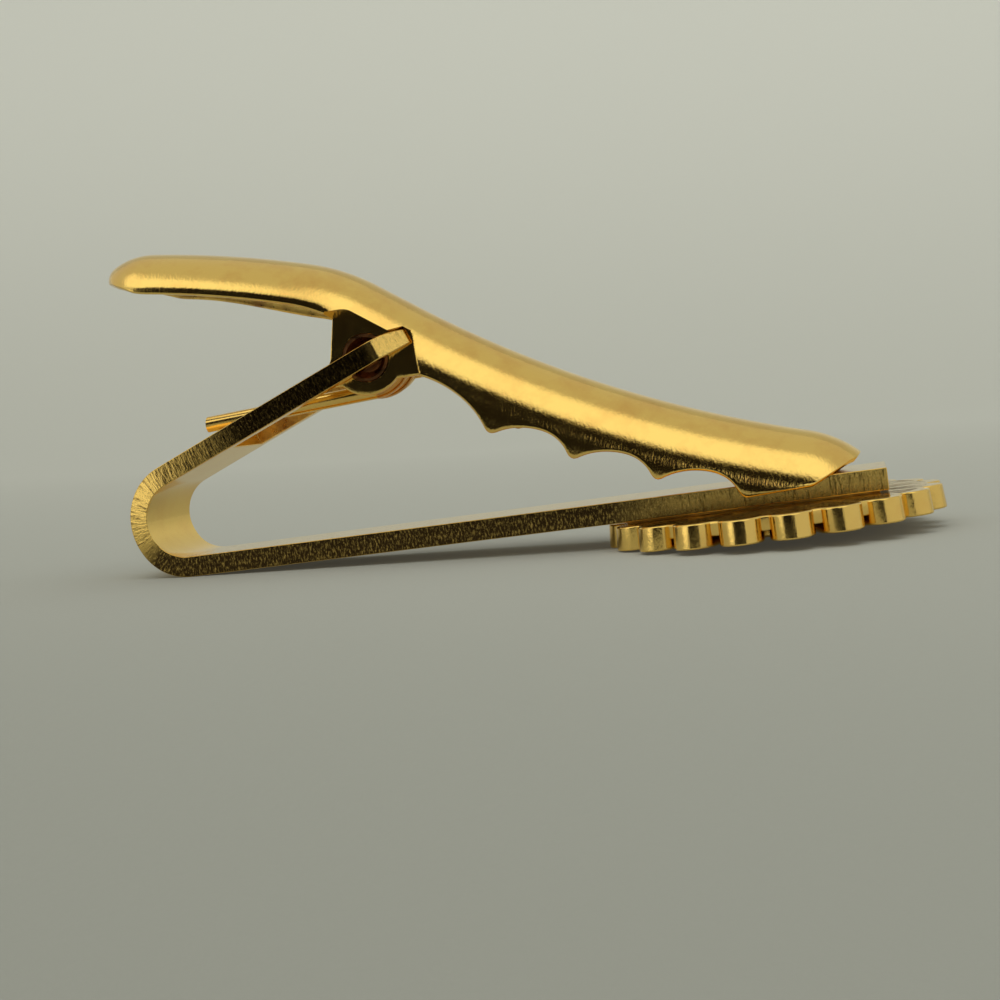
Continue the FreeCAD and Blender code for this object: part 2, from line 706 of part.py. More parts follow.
def rest_placement(parts):
    """Turn the clip on to the fold and the nearest petals, then stand it over the origin."""
    petal_reach = size("petal_tip_centre") * math.cos(math.pi / PETALS) + size("petal_tip_radius")
    petal_depth = size("solder_thickness") + size("rosette_thickness") - size("centre_step")
    contact = side_point(ROSETTE_CENTRE - petal_reach, -petal_depth)
    to_bend = BEND_CENTRE - contact
    above = math.atan2(to_bend.z, -to_bend.x)
    tilt = math.degrees(above - math.asin(OUTER_BEND / to_bend.Length))
    turn = FreeCAD.Rotation(FreeCAD.Vector(0, -1, 0), tilt)
    lying = FreeCAD.Placement(FreeCAD.Vector(), turn)
    box = FreeCAD.BoundBox()
    for part in parts:
        shape = part.Shape.copy()
        shape.Placement = lying.multiply(shape.Placement)
        box.add(shape.optimalBoundingBox(False, False))
    lying.Base = FreeCAD.Vector(-box.Center.x, -box.Center.y, -box.ZMin)
    print("rest tilt", round(tilt, 4), "pivot", [round(v, 4) for v in lying.multVec(PIVOT)])
    face = side_point(ROSETTE_CENTRE, -size("solder_thickness") - size("rosette_thickness"))
    print("rosette face", [round(v, 4) for v in lying.multVec(face)],
          "normal", [round(v, 5) for v in turn.multVec(FreeCAD.Vector(0, 0, -1))])
    return lying


def check(parts):
    """Stop unless every object was made and every piece is one valid solid."""
    for item in doc.Objects:
        if "Invalid" in item.State or "Error" in item.State:
            raise RuntimeError(f"{item.Label} failed: {item.State}")
    for part in parts:
        shape = part.Shape
        if shape.isNull() or not shape.isValid() or len(shape.Solids) != 1:
            raise RuntimeError(f"{part.Label} is not one valid solid")


def main():
    parts = [
        build_frame_bar(),
        build_lever_jaw(),
        build_hinge_pin(),
        build_torsion_spring(),
        build_rosette(),
        build_solder_seam(),
    ]
    doc.recompute()
    check(parts)
    lying = rest_placement(parts)
    os.makedirs("parts", exist_ok=True)
    for part in parts:
        shape = part.Shape.copy()
        shape.Placement = lying.multiply(shape.Placement)
        print(part.Label, "volume", round(shape.Volume, 3))
        shape.exportStep(f"parts/{part.Label}.step")


main()
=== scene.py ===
# %% [markdown]
# # A sprung tie clip in gold plate
# The clip is a folded strip, a pressed lever that turns on a pin, a spring of round wire, and a rosette
# that is soldered to the front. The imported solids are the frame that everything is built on: each one
# sits at its real size and place, in metres, so nothing here has to be fitted by eye.

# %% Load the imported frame
import json
import math

import bpy
from mathutils import Matrix, Vector


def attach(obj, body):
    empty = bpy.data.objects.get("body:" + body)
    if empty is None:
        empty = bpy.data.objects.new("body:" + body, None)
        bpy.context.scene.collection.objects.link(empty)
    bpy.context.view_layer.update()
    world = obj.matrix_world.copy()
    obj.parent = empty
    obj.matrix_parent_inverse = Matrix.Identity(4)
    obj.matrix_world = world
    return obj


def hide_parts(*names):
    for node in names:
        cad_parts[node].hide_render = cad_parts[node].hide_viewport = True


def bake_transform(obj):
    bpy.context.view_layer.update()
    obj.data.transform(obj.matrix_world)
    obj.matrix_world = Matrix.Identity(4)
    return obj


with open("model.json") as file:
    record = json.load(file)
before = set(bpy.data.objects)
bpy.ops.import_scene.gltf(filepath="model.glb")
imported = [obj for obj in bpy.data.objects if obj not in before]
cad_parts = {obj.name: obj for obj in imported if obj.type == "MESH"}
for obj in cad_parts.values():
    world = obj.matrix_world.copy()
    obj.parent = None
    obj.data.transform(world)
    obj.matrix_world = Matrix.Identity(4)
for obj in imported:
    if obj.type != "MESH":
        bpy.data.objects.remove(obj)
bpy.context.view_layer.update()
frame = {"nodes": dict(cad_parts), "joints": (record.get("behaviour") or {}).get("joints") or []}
pivot = Vector(frame["joints"][0]["pos_m"])
print("nodes:", sorted(frame["nodes"]), "pivot:", list(pivot))

# %% [markdown]
# The camera stands level with the clip, close in front of it and a little to the right, with a slight
# roll. It is placed from the hinge, because the hinge is the one point that every piece of the clip is
# built about.

# %% Camera
FROM_HINGE = Vector((0.0279526, -0.089346, -0.0033366))
CAMERA_TURN = (86.3888, 4.9641, 12.9521)
LENS, SENSOR = 55.44, 36
NEAREST, FURTHEST = 0.002, 20

camera_data = bpy.data.cameras.new("photo_camera")
camera_data.lens = LENS
camera_data.sensor_width = SENSOR
camera_data.clip_start = NEAREST
camera_data.clip_end = FURTHEST
camera = bpy.data.objects.new("photo_camera", camera_data)
bpy.context.scene.collection.objects.link(camera)
camera.location = pivot + FROM_HINGE
camera.rotation_euler = [math.radians(turn) for turn in CAMERA_TURN]
bpy.context.scene.camera = camera
bpy.context.scene.view_settings.view_transform = "Standard"
print("camera stands", round(FROM_HINGE.length * 1000, 1), "mm from the hinge")

# %% [markdown]
# The clip was designed with its bar flat: the bar's underside at height zero, its fold at the left and
# its middle line along X. On the table it lies on the fold and on the rosette, tilted by a few degrees.
# Each piece is modelled in the bar's own frame in millimetres, where the numbers are plain, and laid
# down in one move at the end.

# %% From the bar's frame to the table
MM = 0.001
TILT = math.radians(3.2439)
HINGE = Vector((16.2169, 0, 11.5342))

lying = (Matrix.Translation(pivot) @ Matrix.Rotation(-TILT, 4, "Y")
         @ Matrix.Scale(MM, 4) @ Matrix.Translation(-HINGE))
print("the bar's fold comes to", [round(side * 1000, 3) for side in lying @ Vector((0, 0, 0))], "mm")

# %% [markdown]
# A few short helpers save repeating the same three operator calls for every piece. An operator works on
# whatever is selected, so each helper first makes sure that only its own piece is.

# %% Helpers for modelling with operators
WELD = 0.002
SHARP = 35

def only(piece):
    bpy.ops.object.select_all(action="DESELECT")
    piece.select_set(True)
    bpy.context.view_layer.objects.active = piece

def started(name):
    piece = bpy.context.object
    piece.name = name
    piece.data.name = name
    bpy.ops.object.transform_apply(location=True, rotation=True, scale=True)
    return piece

def pick(piece, kind, wanted):
    only(piece)
    bpy.ops.object.mode_set(mode="EDIT")
    bpy.ops.mesh.select_mode(type=kind)
    bpy.ops.mesh.select_all(action="DESELECT")
    bpy.ops.object.mode_set(mode="OBJECT")
    parts = {"VERT": piece.data.vertices, "EDGE": piece.data.edges, "FACE": piece.data.polygons}[kind]
    for part in parts:
        part.select = wanted(part)
    bpy.ops.object.mode_set(mode="EDIT")

def close_up(piece):
    only(piece)
    bpy.ops.object.mode_set(mode="EDIT")
    bpy.ops.mesh.select_all(action="SELECT")
    bpy.ops.mesh.remove_doubles(threshold=WELD)
    bpy.ops.mesh.normals_make_consistent(inside=False)
    bpy.ops.object.mode_set(mode="OBJECT")

def apply(piece, kind, **settings):
    only(piece)
    modifier = piece.modifiers.new(kind.lower(), kind)
    for name, value in settings.items():
        setattr(modifier, name, value)
    bpy.ops.object.modifier_apply(modifier=modifier.name)

def cut_away(piece, cutter):
    apply(piece, "BOOLEAN", operation="DIFFERENCE", solver="EXACT", object=cutter)
    bpy.data.objects.remove(cutter)

def soften(piece, width, segments, angle=SHARP):
    apply(piece, "BEVEL", width=width, segments=segments, limit_method="ANGLE",
          angle_limit=math.radians(angle), harden_normals=False)
    only(piece)
    bpy.ops.object.shade_smooth_by_angle(angle=math.radians(angle))
    apply(piece, "WEIGHTED_NORMAL", keep_sharp=True)

def lay_down(piece, body, slot, *nodes):
    only(piece)
    piece.matrix_world = lying @ piece.matrix_world
    bpy.ops.object.transform_apply(location=True, rotation=True, scale=True)
    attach(piece, body)
    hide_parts(*nodes)
    sides = [round(side / MM, 2) for side in piece.dimensions]
    print(piece.name, "has", len(piece.data.polygons), "faces and is", sides, "mm")

print("corners nearer than", WELD, "mm are merged, and edges sharper than", SHARP, "degrees stay sharp")

# %% [markdown]
# The frame of the clip is one flat strip. A round fold turns it back over itself, so that the short arm
# lies above the long one and climbs away from it. A plane of the strip's section is drawn out along the
# bar, spun round the fold and drawn out again, which is how a bender would work the real strip.

# %% Draw the strip round its fold
BAR_LENGTH, BAR_WIDTH, BAR_THICKNESS = 45, 6, 1.24
FOLD_INSIDE = 2.3
ARM_RISE = math.radians(21)
ARM_LENGTH = 17.6
FOLD_STEPS = 72
fold_outside = FOLD_INSIDE + BAR_THICKNESS
fold_middle = FOLD_INSIDE + BAR_THICKNESS / 2
fold_centre = Vector((fold_outside, 0, fold_outside))
fold_turn = math.pi - ARM_RISE
fold_length = fold_turn * fold_middle
arm_way = Vector((math.cos(ARM_RISE), 0, math.sin(ARM_RISE)))
arm_up = Vector((-math.sin(ARM_RISE), 0, math.cos(ARM_RISE)))

bpy.ops.object.select_all(action="DESELECT")
bpy.ops.mesh.primitive_plane_add(size=1, location=(BAR_LENGTH, 0, BAR_THICKNESS / 2),
                                 rotation=(0, math.pi / 2, 0))
bpy.context.object.scale = (BAR_THICKNESS, BAR_WIDTH, 1)
strip = started("bar_strip")
bpy.ops.object.mode_set(mode="EDIT")
bpy.ops.mesh.select_all(action="SELECT")
bpy.ops.mesh.extrude_region_move(TRANSFORM_OT_translate={"value": (fold_outside - BAR_LENGTH, 0, 0)})
bpy.ops.mesh.spin(steps=FOLD_STEPS, angle=fold_turn, center=fold_centre, axis=(0, -1, 0))
bpy.ops.mesh.extrude_region_move(TRANSFORM_OT_translate={"value": arm_way * ARM_LENGTH})
bpy.ops.object.mode_set(mode="OBJECT")
close_up(strip)
print("the strip reaches", [round(side, 2) for side in strip.dimensions], "mm")

# %% [markdown]
# A saw slot turns the end of the short arm into a fork of two prongs, and their ends are filed: flat
# and thinner on the outside, and rounded down a little on top. A box as wide as the slot is turned to
# the arm's slope and cut away. Then the prongs are divided by a few planes, and each ring of corners is
# drawn in by its share of the filing.

# %% Saw the fork and file its prongs
FORK_START, FORK_HALF = 4.8, 2.25
FILED_LENGTH, FILED_DEPTH, FILED_TOP = 2.1, 0.62, 0.36
FILED_STEPS, FILED_CURVE = 10, 3
SAW_OVERRUN = 2
SLACK = 0.1

slot_length = ARM_LENGTH - FORK_START + SAW_OVERRUN
slot_middle = fold_centre + arm_up * fold_middle + arm_way * (FORK_START + slot_length / 2)
bpy.ops.object.select_all(action="DESELECT")
bpy.ops.mesh.primitive_cube_add(size=1, location=slot_middle, rotation=(0, -ARM_RISE, 0))
bpy.context.object.scale = (slot_length, 2 * FORK_HALF, 3 * BAR_THICKNESS)
cut_away(strip, started("saw_slot"))

def along_arm(place):
    return (place - fold_centre).dot(arm_way)

def on_short_arm(face):
    return (face.center - fold_centre).dot(arm_up) > 0 and along_arm(face.center) > 0

for step in range(FILED_STEPS):
    reach = ARM_LENGTH - FILED_LENGTH * (1 - step / FILED_STEPS)
    pick(strip, "FACE", on_short_arm)
    bpy.ops.mesh.bisect(plane_co=fold_centre + arm_way * reach, plane_no=arm_way)
    bpy.ops.object.mode_set(mode="OBJECT")
for corner in strip.data.vertices:
    height = (corner.co - fold_centre).dot(arm_up)
    share = (along_arm(corner.co) - ARM_LENGTH + FILED_LENGTH) / FILED_LENGTH
    if height < FOLD_INSIDE - SLACK or share <= 0:
        continue
    if abs(corner.co.y) > FORK_HALF + SLACK:
        corner.co.y -= math.copysign(FILED_DEPTH * share, corner.co.y)
    if height > fold_middle:
        corner.co -= arm_up * (FILED_TOP * share ** FILED_CURVE)
print("prong ends are", round(BAR_WIDTH / 2 - FORK_HALF - FILED_DEPTH, 2), "mm thick")

# %% [markdown]
# Bending squeezes the inside of the fold, so that it spreads sideways, and stretches the outside, so
# that it narrows. The sides of the fold lean outwards for that reason, and they catch the light where
# the straight sides stay dark. Here each corner of the fold moves sideways by its height above the
# strip's middle.

# %% Spread the fold
FOLD_SPREAD = 0.09
SPREAD_START, SPREAD_FULL, SPREAD_END = 1.5, 3.2, 13
spread_reach = SPREAD_END - fold_length

def strip_distance(place):
    out = place - fold_centre
    if out.x > 0 and out.z < 0:
        return -out.x
    turn = math.atan2(-out.x, -out.z)
    turn = turn if turn >= 0 else turn + 2 * math.pi
    if turn <= fold_turn:
        return turn * fold_middle
    return fold_length + along_arm(place)

def strip_height(place):
    out = place - fold_centre
    if out.x > 0 and out.z < 0:
        return -out.z
    return out.dot(arm_up) if along_arm(place) > 0 else math.hypot(out.x, out.z)

def spread_share(distance):
    rising = (distance - SPREAD_START) / (SPREAD_FULL - SPREAD_START)
    falling = (SPREAD_END - distance) / spread_reach
    return min(max(min(rising, falling), 0), 1)

pick(strip, "FACE", on_short_arm)
bpy.ops.mesh.bisect(plane_co=fold_centre + arm_way * spread_reach, plane_no=arm_way)
bpy.ops.object.mode_set(mode="OBJECT")
for corner in strip.data.vertices:
    if abs(corner.co.y) > FORK_HALF + SLACK:
        above = (strip_height(corner.co) - fold_middle) / BAR_THICKNESS
        corner.co.y *= 1 - FOLD_SPREAD * above * spread_share(strip_distance(corner.co))
print("the fold's inside is", round(2 * max(corner.co.y for corner in strip.data.vertices), 2), "mm wide")

# %% [markdown]
# The plating has rounded every edge of the strip a little, and those edges catch the light as thin
# bright lines. The sawn sides keep fine lines across the strip, so the finish needs to know how far
# along the strip each point is, round the fold too, and how high it is in the strip's thickness. Both
# are stored on the mesh, as attributes called along and across.

# %% Soften the strip's edges and measure along it
EDGE_ROUND = 0.09

soften(strip, EDGE_ROUND, segments=3)

along = strip.data.attributes.new("along", "FLOAT", "POINT")
across = strip.data.attributes.new("across", "FLOAT", "POINT")
for corner in strip.data.vertices:
    along.data[corner.index].value = strip_distance(corner.co)
    across.data[corner.index].value = strip_height(corner.co)
lay_down(strip, "frame", "bar_gold", "frame_bar")

# %% [markdown]
# The lever is one sheet, pressed over a ridge that runs from the thumb piece over the hinge to the nose
# of the jaw. Seen from the side the ridge is a chain of arcs. It is walked from the crown over the
# hinge, once to the left and once to the right, and each run is a length and a turn. Under the curl of
# the tip the sections turn less than the ridge does, so that they don't cross each other.

# %% The lever's ridge
CROWN_HEIGHT, CROWN_FORWARD = 3.9, 1.1
CROWN_SLOPE = math.radians(34)
crown_out = Vector((math.sin(CROWN_SLOPE), 0, math.cos(CROWN_SLOPE)))
crown_way = Vector((math.cos(CROWN_SLOPE), 0, -math.sin(CROWN_SLOPE)))
crown = HINGE + CROWN_HEIGHT * crown_out + CROWN_FORWARD * crown_way
RIDGE_SLOPE = math.radians(-35.147)
THUMB_ROOT, THUMB_KNEE, THUMB_BACK = (3.0, 0), (4.285, 18.6), (10.16, 8.2)
TIP_BEND, TIP_END = (2.6, 33.9), (1.2, 55)
JAW_BACK, JAW_NOSE = (24.171, 19.008), (3.2, -27.78)
THUMB_RUNS = [THUMB_ROOT, THUMB_KNEE, THUMB_BACK, TIP_BEND, TIP_END]
JAW_RUNS = [JAW_BACK, JAW_NOSE]
THUMB_END = -sum(length for length, turn in THUMB_RUNS)
NOSE_END = sum(length for length, turn in JAW_RUNS)
TIP_CURL = 0.45

def walked(heading, runs, distance):
    place, left = crown.copy(), distance
    for length, turn in runs:
        bit = min(left, length)
        bend = math.radians(turn) * bit / length
        chord = bit * (math.sin(bend / 2) / (bend / 2) if bend else 1)
        place += chord * Vector((math.cos(heading + bend / 2), 0, math.sin(heading + bend / 2)))
        heading += bend
        left -= bit
        if left <= 0:
            break
    return place, heading

tip_slope = RIDGE_SLOPE + math.radians(sum(turn for length, turn in THUMB_RUNS[:-1]))

def on_ridge(distance):
    if distance >= 0:
        place, heading = walked(RIDGE_SLOPE, JAW_RUNS, distance)
    else:
        place, heading = walked(RIDGE_SLOPE + math.pi, THUMB_RUNS, -distance)
        heading -= math.pi
        heading -= (1 - TIP_CURL) * max(heading - tip_slope, 0)
    return place, Vector((math.sin(heading), 0, -math.cos(heading)))

for name, distance in (("tip", THUMB_END), ("nose", NOSE_END)):
    print("the ridge's", name, "is at", [round(side, 2) for side in on_ridge(distance)[0]])

# %% [markdown]
# How far the sheet hangs down from the ridge changes along it: a shallow rim on the thumb piece, a
# round ear at the hinge, a plain heel, a shallow scallop and three deeper ones that leave four teeth, a
# skirt along the bar, and a nose that rises to nothing. Seen from the side nearly all of these are
# lines, circles or arcs, so the outline needs only a few named sizes. Each point of the ridge looks
# straight in under itself, and the depth is where that look meets the line or the circle.

# %% Where the sheet ends: lines and circles
def to_line(place, inward, start, slope):
    across = Vector((-math.sin(slope), 0, math.cos(slope)))
    return (start - place).dot(across) / inward.dot(across)

def to_circle(place, inward, centre, radius):
    off = place - centre
    middle = -off.dot(inward)
    inside = middle * middle - off.length_squared + radius * radius
    return middle + math.sqrt(inside) if inside > 0 else 0

def between(a, b, share):
    return a + (b - a) * share

def eased(share):
    share = min(max(share, 0), 1)
    return share * share * (3 - 2 * share)

place, inward = on_ridge(-1)
print("under the ridge the hinge's level is", round(to_line(place, inward, HINGE, 0), 2), "mm down")

# %% The thumb piece's rim and the ear
THUMB_DEPTH = 2.6
TIP_LENGTH, TIP_DEPTH = 4.6, 0.03
TIP_FULLNESS, TIP_BLUNTNESS = 1.8, 0.6
EAR_REACH = 2 * THUMB_DEPTH
LOBE_RADIUS = 2.25
EAR_LEAN = math.radians(78)
HEEL_DROP, HEEL_ALONG = 1.5, 2.5

def tip_share(distance):
    return min(max(THUMB_END + TIP_LENGTH - distance, 0) / TIP_LENGTH, 1)

def thumb_depth(distance):
    share = (1 - tip_share(distance) ** TIP_FULLNESS) ** TIP_BLUNTNESS
    return between(TIP_DEPTH, THUMB_DEPTH, share)

def ear_depth(distance):
    place, inward = on_ridge(distance)
    back = to_line(place, inward, HINGE - Vector((LOBE_RADIUS, 0, 0)), EAR_LEAN)
    if (place + inward * back).z > HINGE.z:
        return max(back, THUMB_DEPTH)
    heel = to_line(place, inward, HINGE - Vector((0, 0, HEEL_DROP)), 0)
    return max(to_circle(place, inward, HINGE, LOBE_RADIUS), heel)

print("ear depths", [round(ear_depth(distance), 2) for distance in (-5, -4, -3, -2, -1, 0, 1, 2)])

# %% The teeth, the skirt and the nose
FIRST_TOOTH, TOOTH_PITCH, TEETH = 7.5, 4.65, 4
TOOTH_DEPTH, TOOTH_FALL = 4.8, 0.2
SCALLOP, HEEL_SCALLOP, SCALLOP_PEAK = 1.25, 0.75, 0.58
TOOTH_ROUND, ROUND_STEPS = 0.3, 4
SKIRT_SETBACK, SKIRT_OVERLAP = 4, 0.46
SKIRT = Vector((BAR_LENGTH - SKIRT_SETBACK, 0, BAR_THICKNESS - SKIRT_OVERLAP))
NOSE_SLOPE = math.radians(26)

def tooth(number):
    return FIRST_TOOTH + number * TOOTH_PITCH, TOOTH_DEPTH - number * TOOTH_FALL

def scallop(share, span, height):
    run = span * (SCALLOP_PEAK if share < SCALLOP_PEAK else 1 - SCALLOP_PEAK)
    radius = (run * run + height * height) / (2 * height)
    off = (share - SCALLOP_PEAK) * span
    return height - radius + math.sqrt(max(radius * radius - off * off, 0))

def jaw_depth(distance):
    stops = [(HEEL_ALONG, ear_depth(HEEL_ALONG))] + [tooth(number) for number in range(TEETH)]
    for number, (start, end) in enumerate(zip(stops, stops[1:])):
        if distance < end[0]:
            share = (distance - start[0]) / (end[0] - start[0])
            height = SCALLOP if number else HEEL_SCALLOP
            return between(start[1], end[1], share) - scallop(share, end[0] - start[0], height)
    place, inward = on_ridge(stops[-1][0])
    to_skirt = SKIRT - (place + inward * stops[-1][1])
    place, inward = on_ridge(distance)
    skirt = to_line(place, inward, SKIRT, math.atan2(to_skirt.z, to_skirt.x))
    return min(skirt, to_line(place, inward, SKIRT, NOSE_SLOPE))

def edge_depth(distance):
    if distance < HEEL_ALONG:
        return ear_depth(distance) if distance > -EAR_REACH else thumb_depth(distance)
    offs = [TOOTH_ROUND * step / ROUND_STEPS for step in range(-ROUND_STEPS, ROUND_STEPS + 1)]
    return sum(jaw_depth(max(distance + off, HEEL_ALONG)) for off in offs) / len(offs)

print("tooth depths", [round(edge_depth(tooth(number)[0] - 0.001), 2) for number in range(TEETH)])

# %% [markdown]
# Across the ridge the sheet is half-round. At the hinge it is folded in under a shoulder, so that two
# flat ears go between the prongs of the fork, and it flares out again just past the prong ends. On the
# thumb piece the last bit of the wall stands straight, as a narrow hem. The sheet has a thickness, so
# the same section is worked out twice, once for its outside and once set in by the thickness for its
# inside.

# %% How wide the lever is
HALF_WIDTH, EAR_OUTSIDE = 3.8, 2.1
SHOULDER_MIDDLE, SHOULDER_FRONT = 1.75, 1.18
SHOULDER_START, SHOULDER_LENGTH = -4.9, 2.2
SHOULDER_END, SHOULDER_FALL = 0.35, 0.96
FLARE_AT, FLARE_SLANT, FLARE_LENGTH = -0.36, 0.84, 0.4

def wall_width(depth, inset):
    radius = HALF_WIDTH - inset
    level = min(max(HALF_WIDTH - depth, 0), radius)
    return math.sqrt(radius * radius - level * level)

def wall_depth(width, inset):
    radius = HALF_WIDTH - inset
    return HALF_WIDTH - math.sqrt(radius * radius - width * width)

def on_thumb(distance):
    return distance < -EAR_REACH or distance < 0 and ear_depth(distance) < THUMB_DEPTH + SLACK

def shoulder(distance):
    back = between(THUMB_DEPTH, SHOULDER_MIDDLE, eased((distance - SHOULDER_START) / SHOULDER_LENGTH))
    over_prong = SHOULDER_FRONT + SHOULDER_FALL * (SHOULDER_END - distance)
    return max(min(back, over_prong), SHOULDER_FRONT)

def folded(distance, depth):
    if on_thumb(distance):
        return 0
    return 1 - eased((distance - FLARE_AT - FLARE_SLANT * depth) / FLARE_LENGTH)

print("the shoulder is", [round(shoulder(distance), 2) for distance in (-4, -1, 0)], "mm below the ridge")

# %% [markdown]
# A section is a row of points from the ridge down to the rim: first the round crown, then the ledge
# under the shoulder, the wall, and the quarter-round of the rim. Where there is no shoulder, the
# ledge's points lie in the wall. The far side of the thumb piece hangs a little lower than the near
# side.

# %% How deep the rim and the ledge are
FAR_DROP, FAR_DROP_LENGTH = 0.6, 9
LEDGE_ABOVE_RIM, LEDGE_LEAST, LEDGE_INSIDE = 0.2, 0.6, 0.7

def rim_depth(distance, far):
    edge = edge_depth(distance)
    if far and distance < 0:
        drop = FAR_DROP * eased((distance - THUMB_END - TIP_LENGTH) / FAR_DROP_LENGTH)
        edge = max(edge, thumb_depth(distance) + drop)
    return edge

def ledge_depth(distance, edge, inset):
    ledge = min(shoulder(distance), max(edge - LEDGE_ABOVE_RIM, LEDGE_LEAST * edge))
    if inset:
        ear_meets = wall_depth(EAR_OUTSIDE - inset, inset)
        ledge = min(max(ledge - inset, ear_meets), between(inset, edge, LEDGE_INSIDE))
    return ledge

print("the far rim is", round(rim_depth(-EAR_REACH, True), 2), "mm deep, the near one", THUMB_DEPTH)

# %% The wall, its hem and the ear
HEM, HEM_ROUND, HEM_FADE = 0.34, 0.25, 0.8
TIP_NARROW = 0.6

def soft_least(a, b, rounding):
    share = min(max(0.5 + 0.5 * (b - a) / rounding, 0), 1)
    return between(b, a, share) - rounding * share * (1 - share)

class Section:
    def __init__(self, distance, far, inset):
        self.distance, self.inset = distance, inset
        self.narrow = between(TIP_NARROW, 1, math.sqrt(1 - tip_share(distance) ** 2))
        self.ear = EAR_OUTSIDE - inset
        self.edge = rim_depth(distance, far)
        self.hem = self.edge + HEM_ROUND
        if distance < SHOULDER_START + SHOULDER_LENGTH:
            fade = max(tip_share(distance) / HEM_FADE, (distance - SHOULDER_START) / SHOULDER_LENGTH)
            level = self.edge if on_thumb(distance) else shoulder(distance)
            self.hem = between(level - HEM, self.hem, eased(fade))

    def width(self, depth):
        return self.narrow * wall_width(soft_least(depth, self.hem, HEM_ROUND), self.inset)

    def wall(self, depth):
        return between(self.width(depth), self.ear, folded(self.distance, depth))

print("the wall ends", round(Section(-EAR_REACH, False, 0).wall(THUMB_DEPTH), 2), "mm from the middle")

# %% One half of a section of the sheet
CROWN_STEPS, LEDGE_STEPS, WALL_STEPS, RIM_STEPS = 22, 4, 16, 4
LEDGE_SHARE, LEDGE_FALL = 0.15, 0.03
RIM_ROUND, RIM_LOOK = 0.12, 0.05

def rim_way(section):
    step = min(RIM_LOOK, section.edge / 4)
    slope = (section.wall(section.edge) - section.wall(section.edge - step)) / step
    return Vector((slope, 1)).normalized()

def half_section(distance, far, inset):
    section = Section(distance, far, inset)
    way = rim_way(Section(distance, far, 0))
    inward = Vector((-way.y, way.x))
    section.edge += inset * inward.y
    section.hem += inset * inward.y
    rounding = min(RIM_ROUND, section.edge / way.y / 2)
    rim_start = section.edge - rounding * way.y
    ledge = ledge_depth(distance, section.edge, inset)
    ledge_end = between(ledge, rim_start, LEDGE_SHARE)
    fold_end = between(ledge, rim_start, LEDGE_FALL)

    turn = math.acos(max(HALF_WIDTH - ledge, 0) / (HALF_WIDTH - inset))
    places = [(0, inset)]
    for step in range(1, CROWN_STEPS + 1):
        depth = HALF_WIDTH - (HALF_WIDTH - inset) * math.cos(turn * step / CROWN_STEPS)
        places.append((section.width(depth), depth))
    for step in range(1, LEDGE_STEPS + 1):
        share = step / LEDGE_STEPS
        depth = between(ledge, ledge_end, share)
        fold = folded(distance, depth)
        fold_width = between(section.width(ledge), section.ear, share)
        fold_depth = between(ledge, fold_end, share)
        places.append((between(section.width(depth), fold_width, fold), between(depth, fold_depth, fold)))
    for step in range(1, WALL_STEPS + 1):
        share = step / WALL_STEPS
        depth = between(ledge_end, rim_start, share)
        fold_depth = between(fold_end, rim_start, share)
        places.append((section.wall(depth), between(depth, fold_depth, folded(distance, depth))))
    start = Vector((section.wall(rim_start), rim_start))
    side = -1 if inset else 1
    for step in range(1, RIM_STEPS + 1):
        angle = math.pi / 2 * step / RIM_STEPS
        out = rounding * math.sin(angle)
        turned = side * rounding * (1 - math.cos(angle))
        places.append(start + way * out + inward * turned)
    return places

print("a section through the ear ends at", half_section(-1, False, 0)[-1])

# %% [markdown]
# No operator bends a sheet over a curved ridge, so each face of the sheet starts as a flat grid, like
# the blank in the press, and each of its points is moved to its place on the form. The rows are set so
# that one falls on every tooth's tip. The two faces are joined, bridging their open borders makes the
# cut rim, and a cylinder drills the ears.

# %% Press the lever
ROWS_PER_PITCH, END_ROWS = 30, 24
FINE_START, FINE_LENGTH, FINE_STEP = 0.31, 3.7, 0.0437
NOSE_LENGTH = 2.5
SHEET = 0.45

row_step = TOOTH_PITCH / ROWS_PER_PITCH
tip_rows = [THUMB_END + TIP_LENGTH * (row / END_ROWS) ** 2 for row in range(END_ROWS)]
nose_rows = [NOSE_END - NOSE_LENGTH * (row / END_ROWS) ** 2 for row in range(END_ROWS)]
first_row = math.ceil((THUMB_END + TIP_LENGTH - FIRST_TOOTH) / row_step)
last_row = math.floor((NOSE_END - NOSE_LENGTH - FIRST_TOOTH) / row_step)
even_rows = [FIRST_TOOTH + row * row_step for row in range(first_row, last_row + 1)]
fine_rows = [FINE_START + FINE_STEP * row for row in range(int(FINE_LENGTH / FINE_STEP))]
distances = sorted(tip_rows + even_rows + fine_rows + nose_rows)
rows = len(distances) - 1
columns = CROWN_STEPS + LEDGE_STEPS + WALL_STEPS + RIM_STEPS

def pressed(name, inset):
    bpy.ops.object.select_all(action="DESELECT")
    bpy.ops.mesh.primitive_grid_add(x_subdivisions=rows, y_subdivisions=2 * columns, size=2)
    blank = started(name)
    halves = {far: [half_section(distance, far, inset) for distance in distances] for far in (False, True)}
    for point in blank.data.vertices:
        row = round((point.co.x + 1) / 2 * rows)
        column = round(point.co.y * columns)
        place, inward = on_ridge(distances[row])
        width, depth = halves[column > 0][row][abs(column)]
        point.co = place + inward * depth + Vector((0, math.copysign(width, column), 0))
    return blank

lever = pressed("lever_sheet", 0)
inner = pressed("lever_inside", SHEET)
outside_points = len(lever.data.vertices)
only(lever)
inner.select_set(True)
bpy.ops.object.join()
lowest = min(point.co.z for point in lever.data.vertices)
print("the sheet has", len(lever.data.vertices), "points, lowest at", round(lowest, 3))

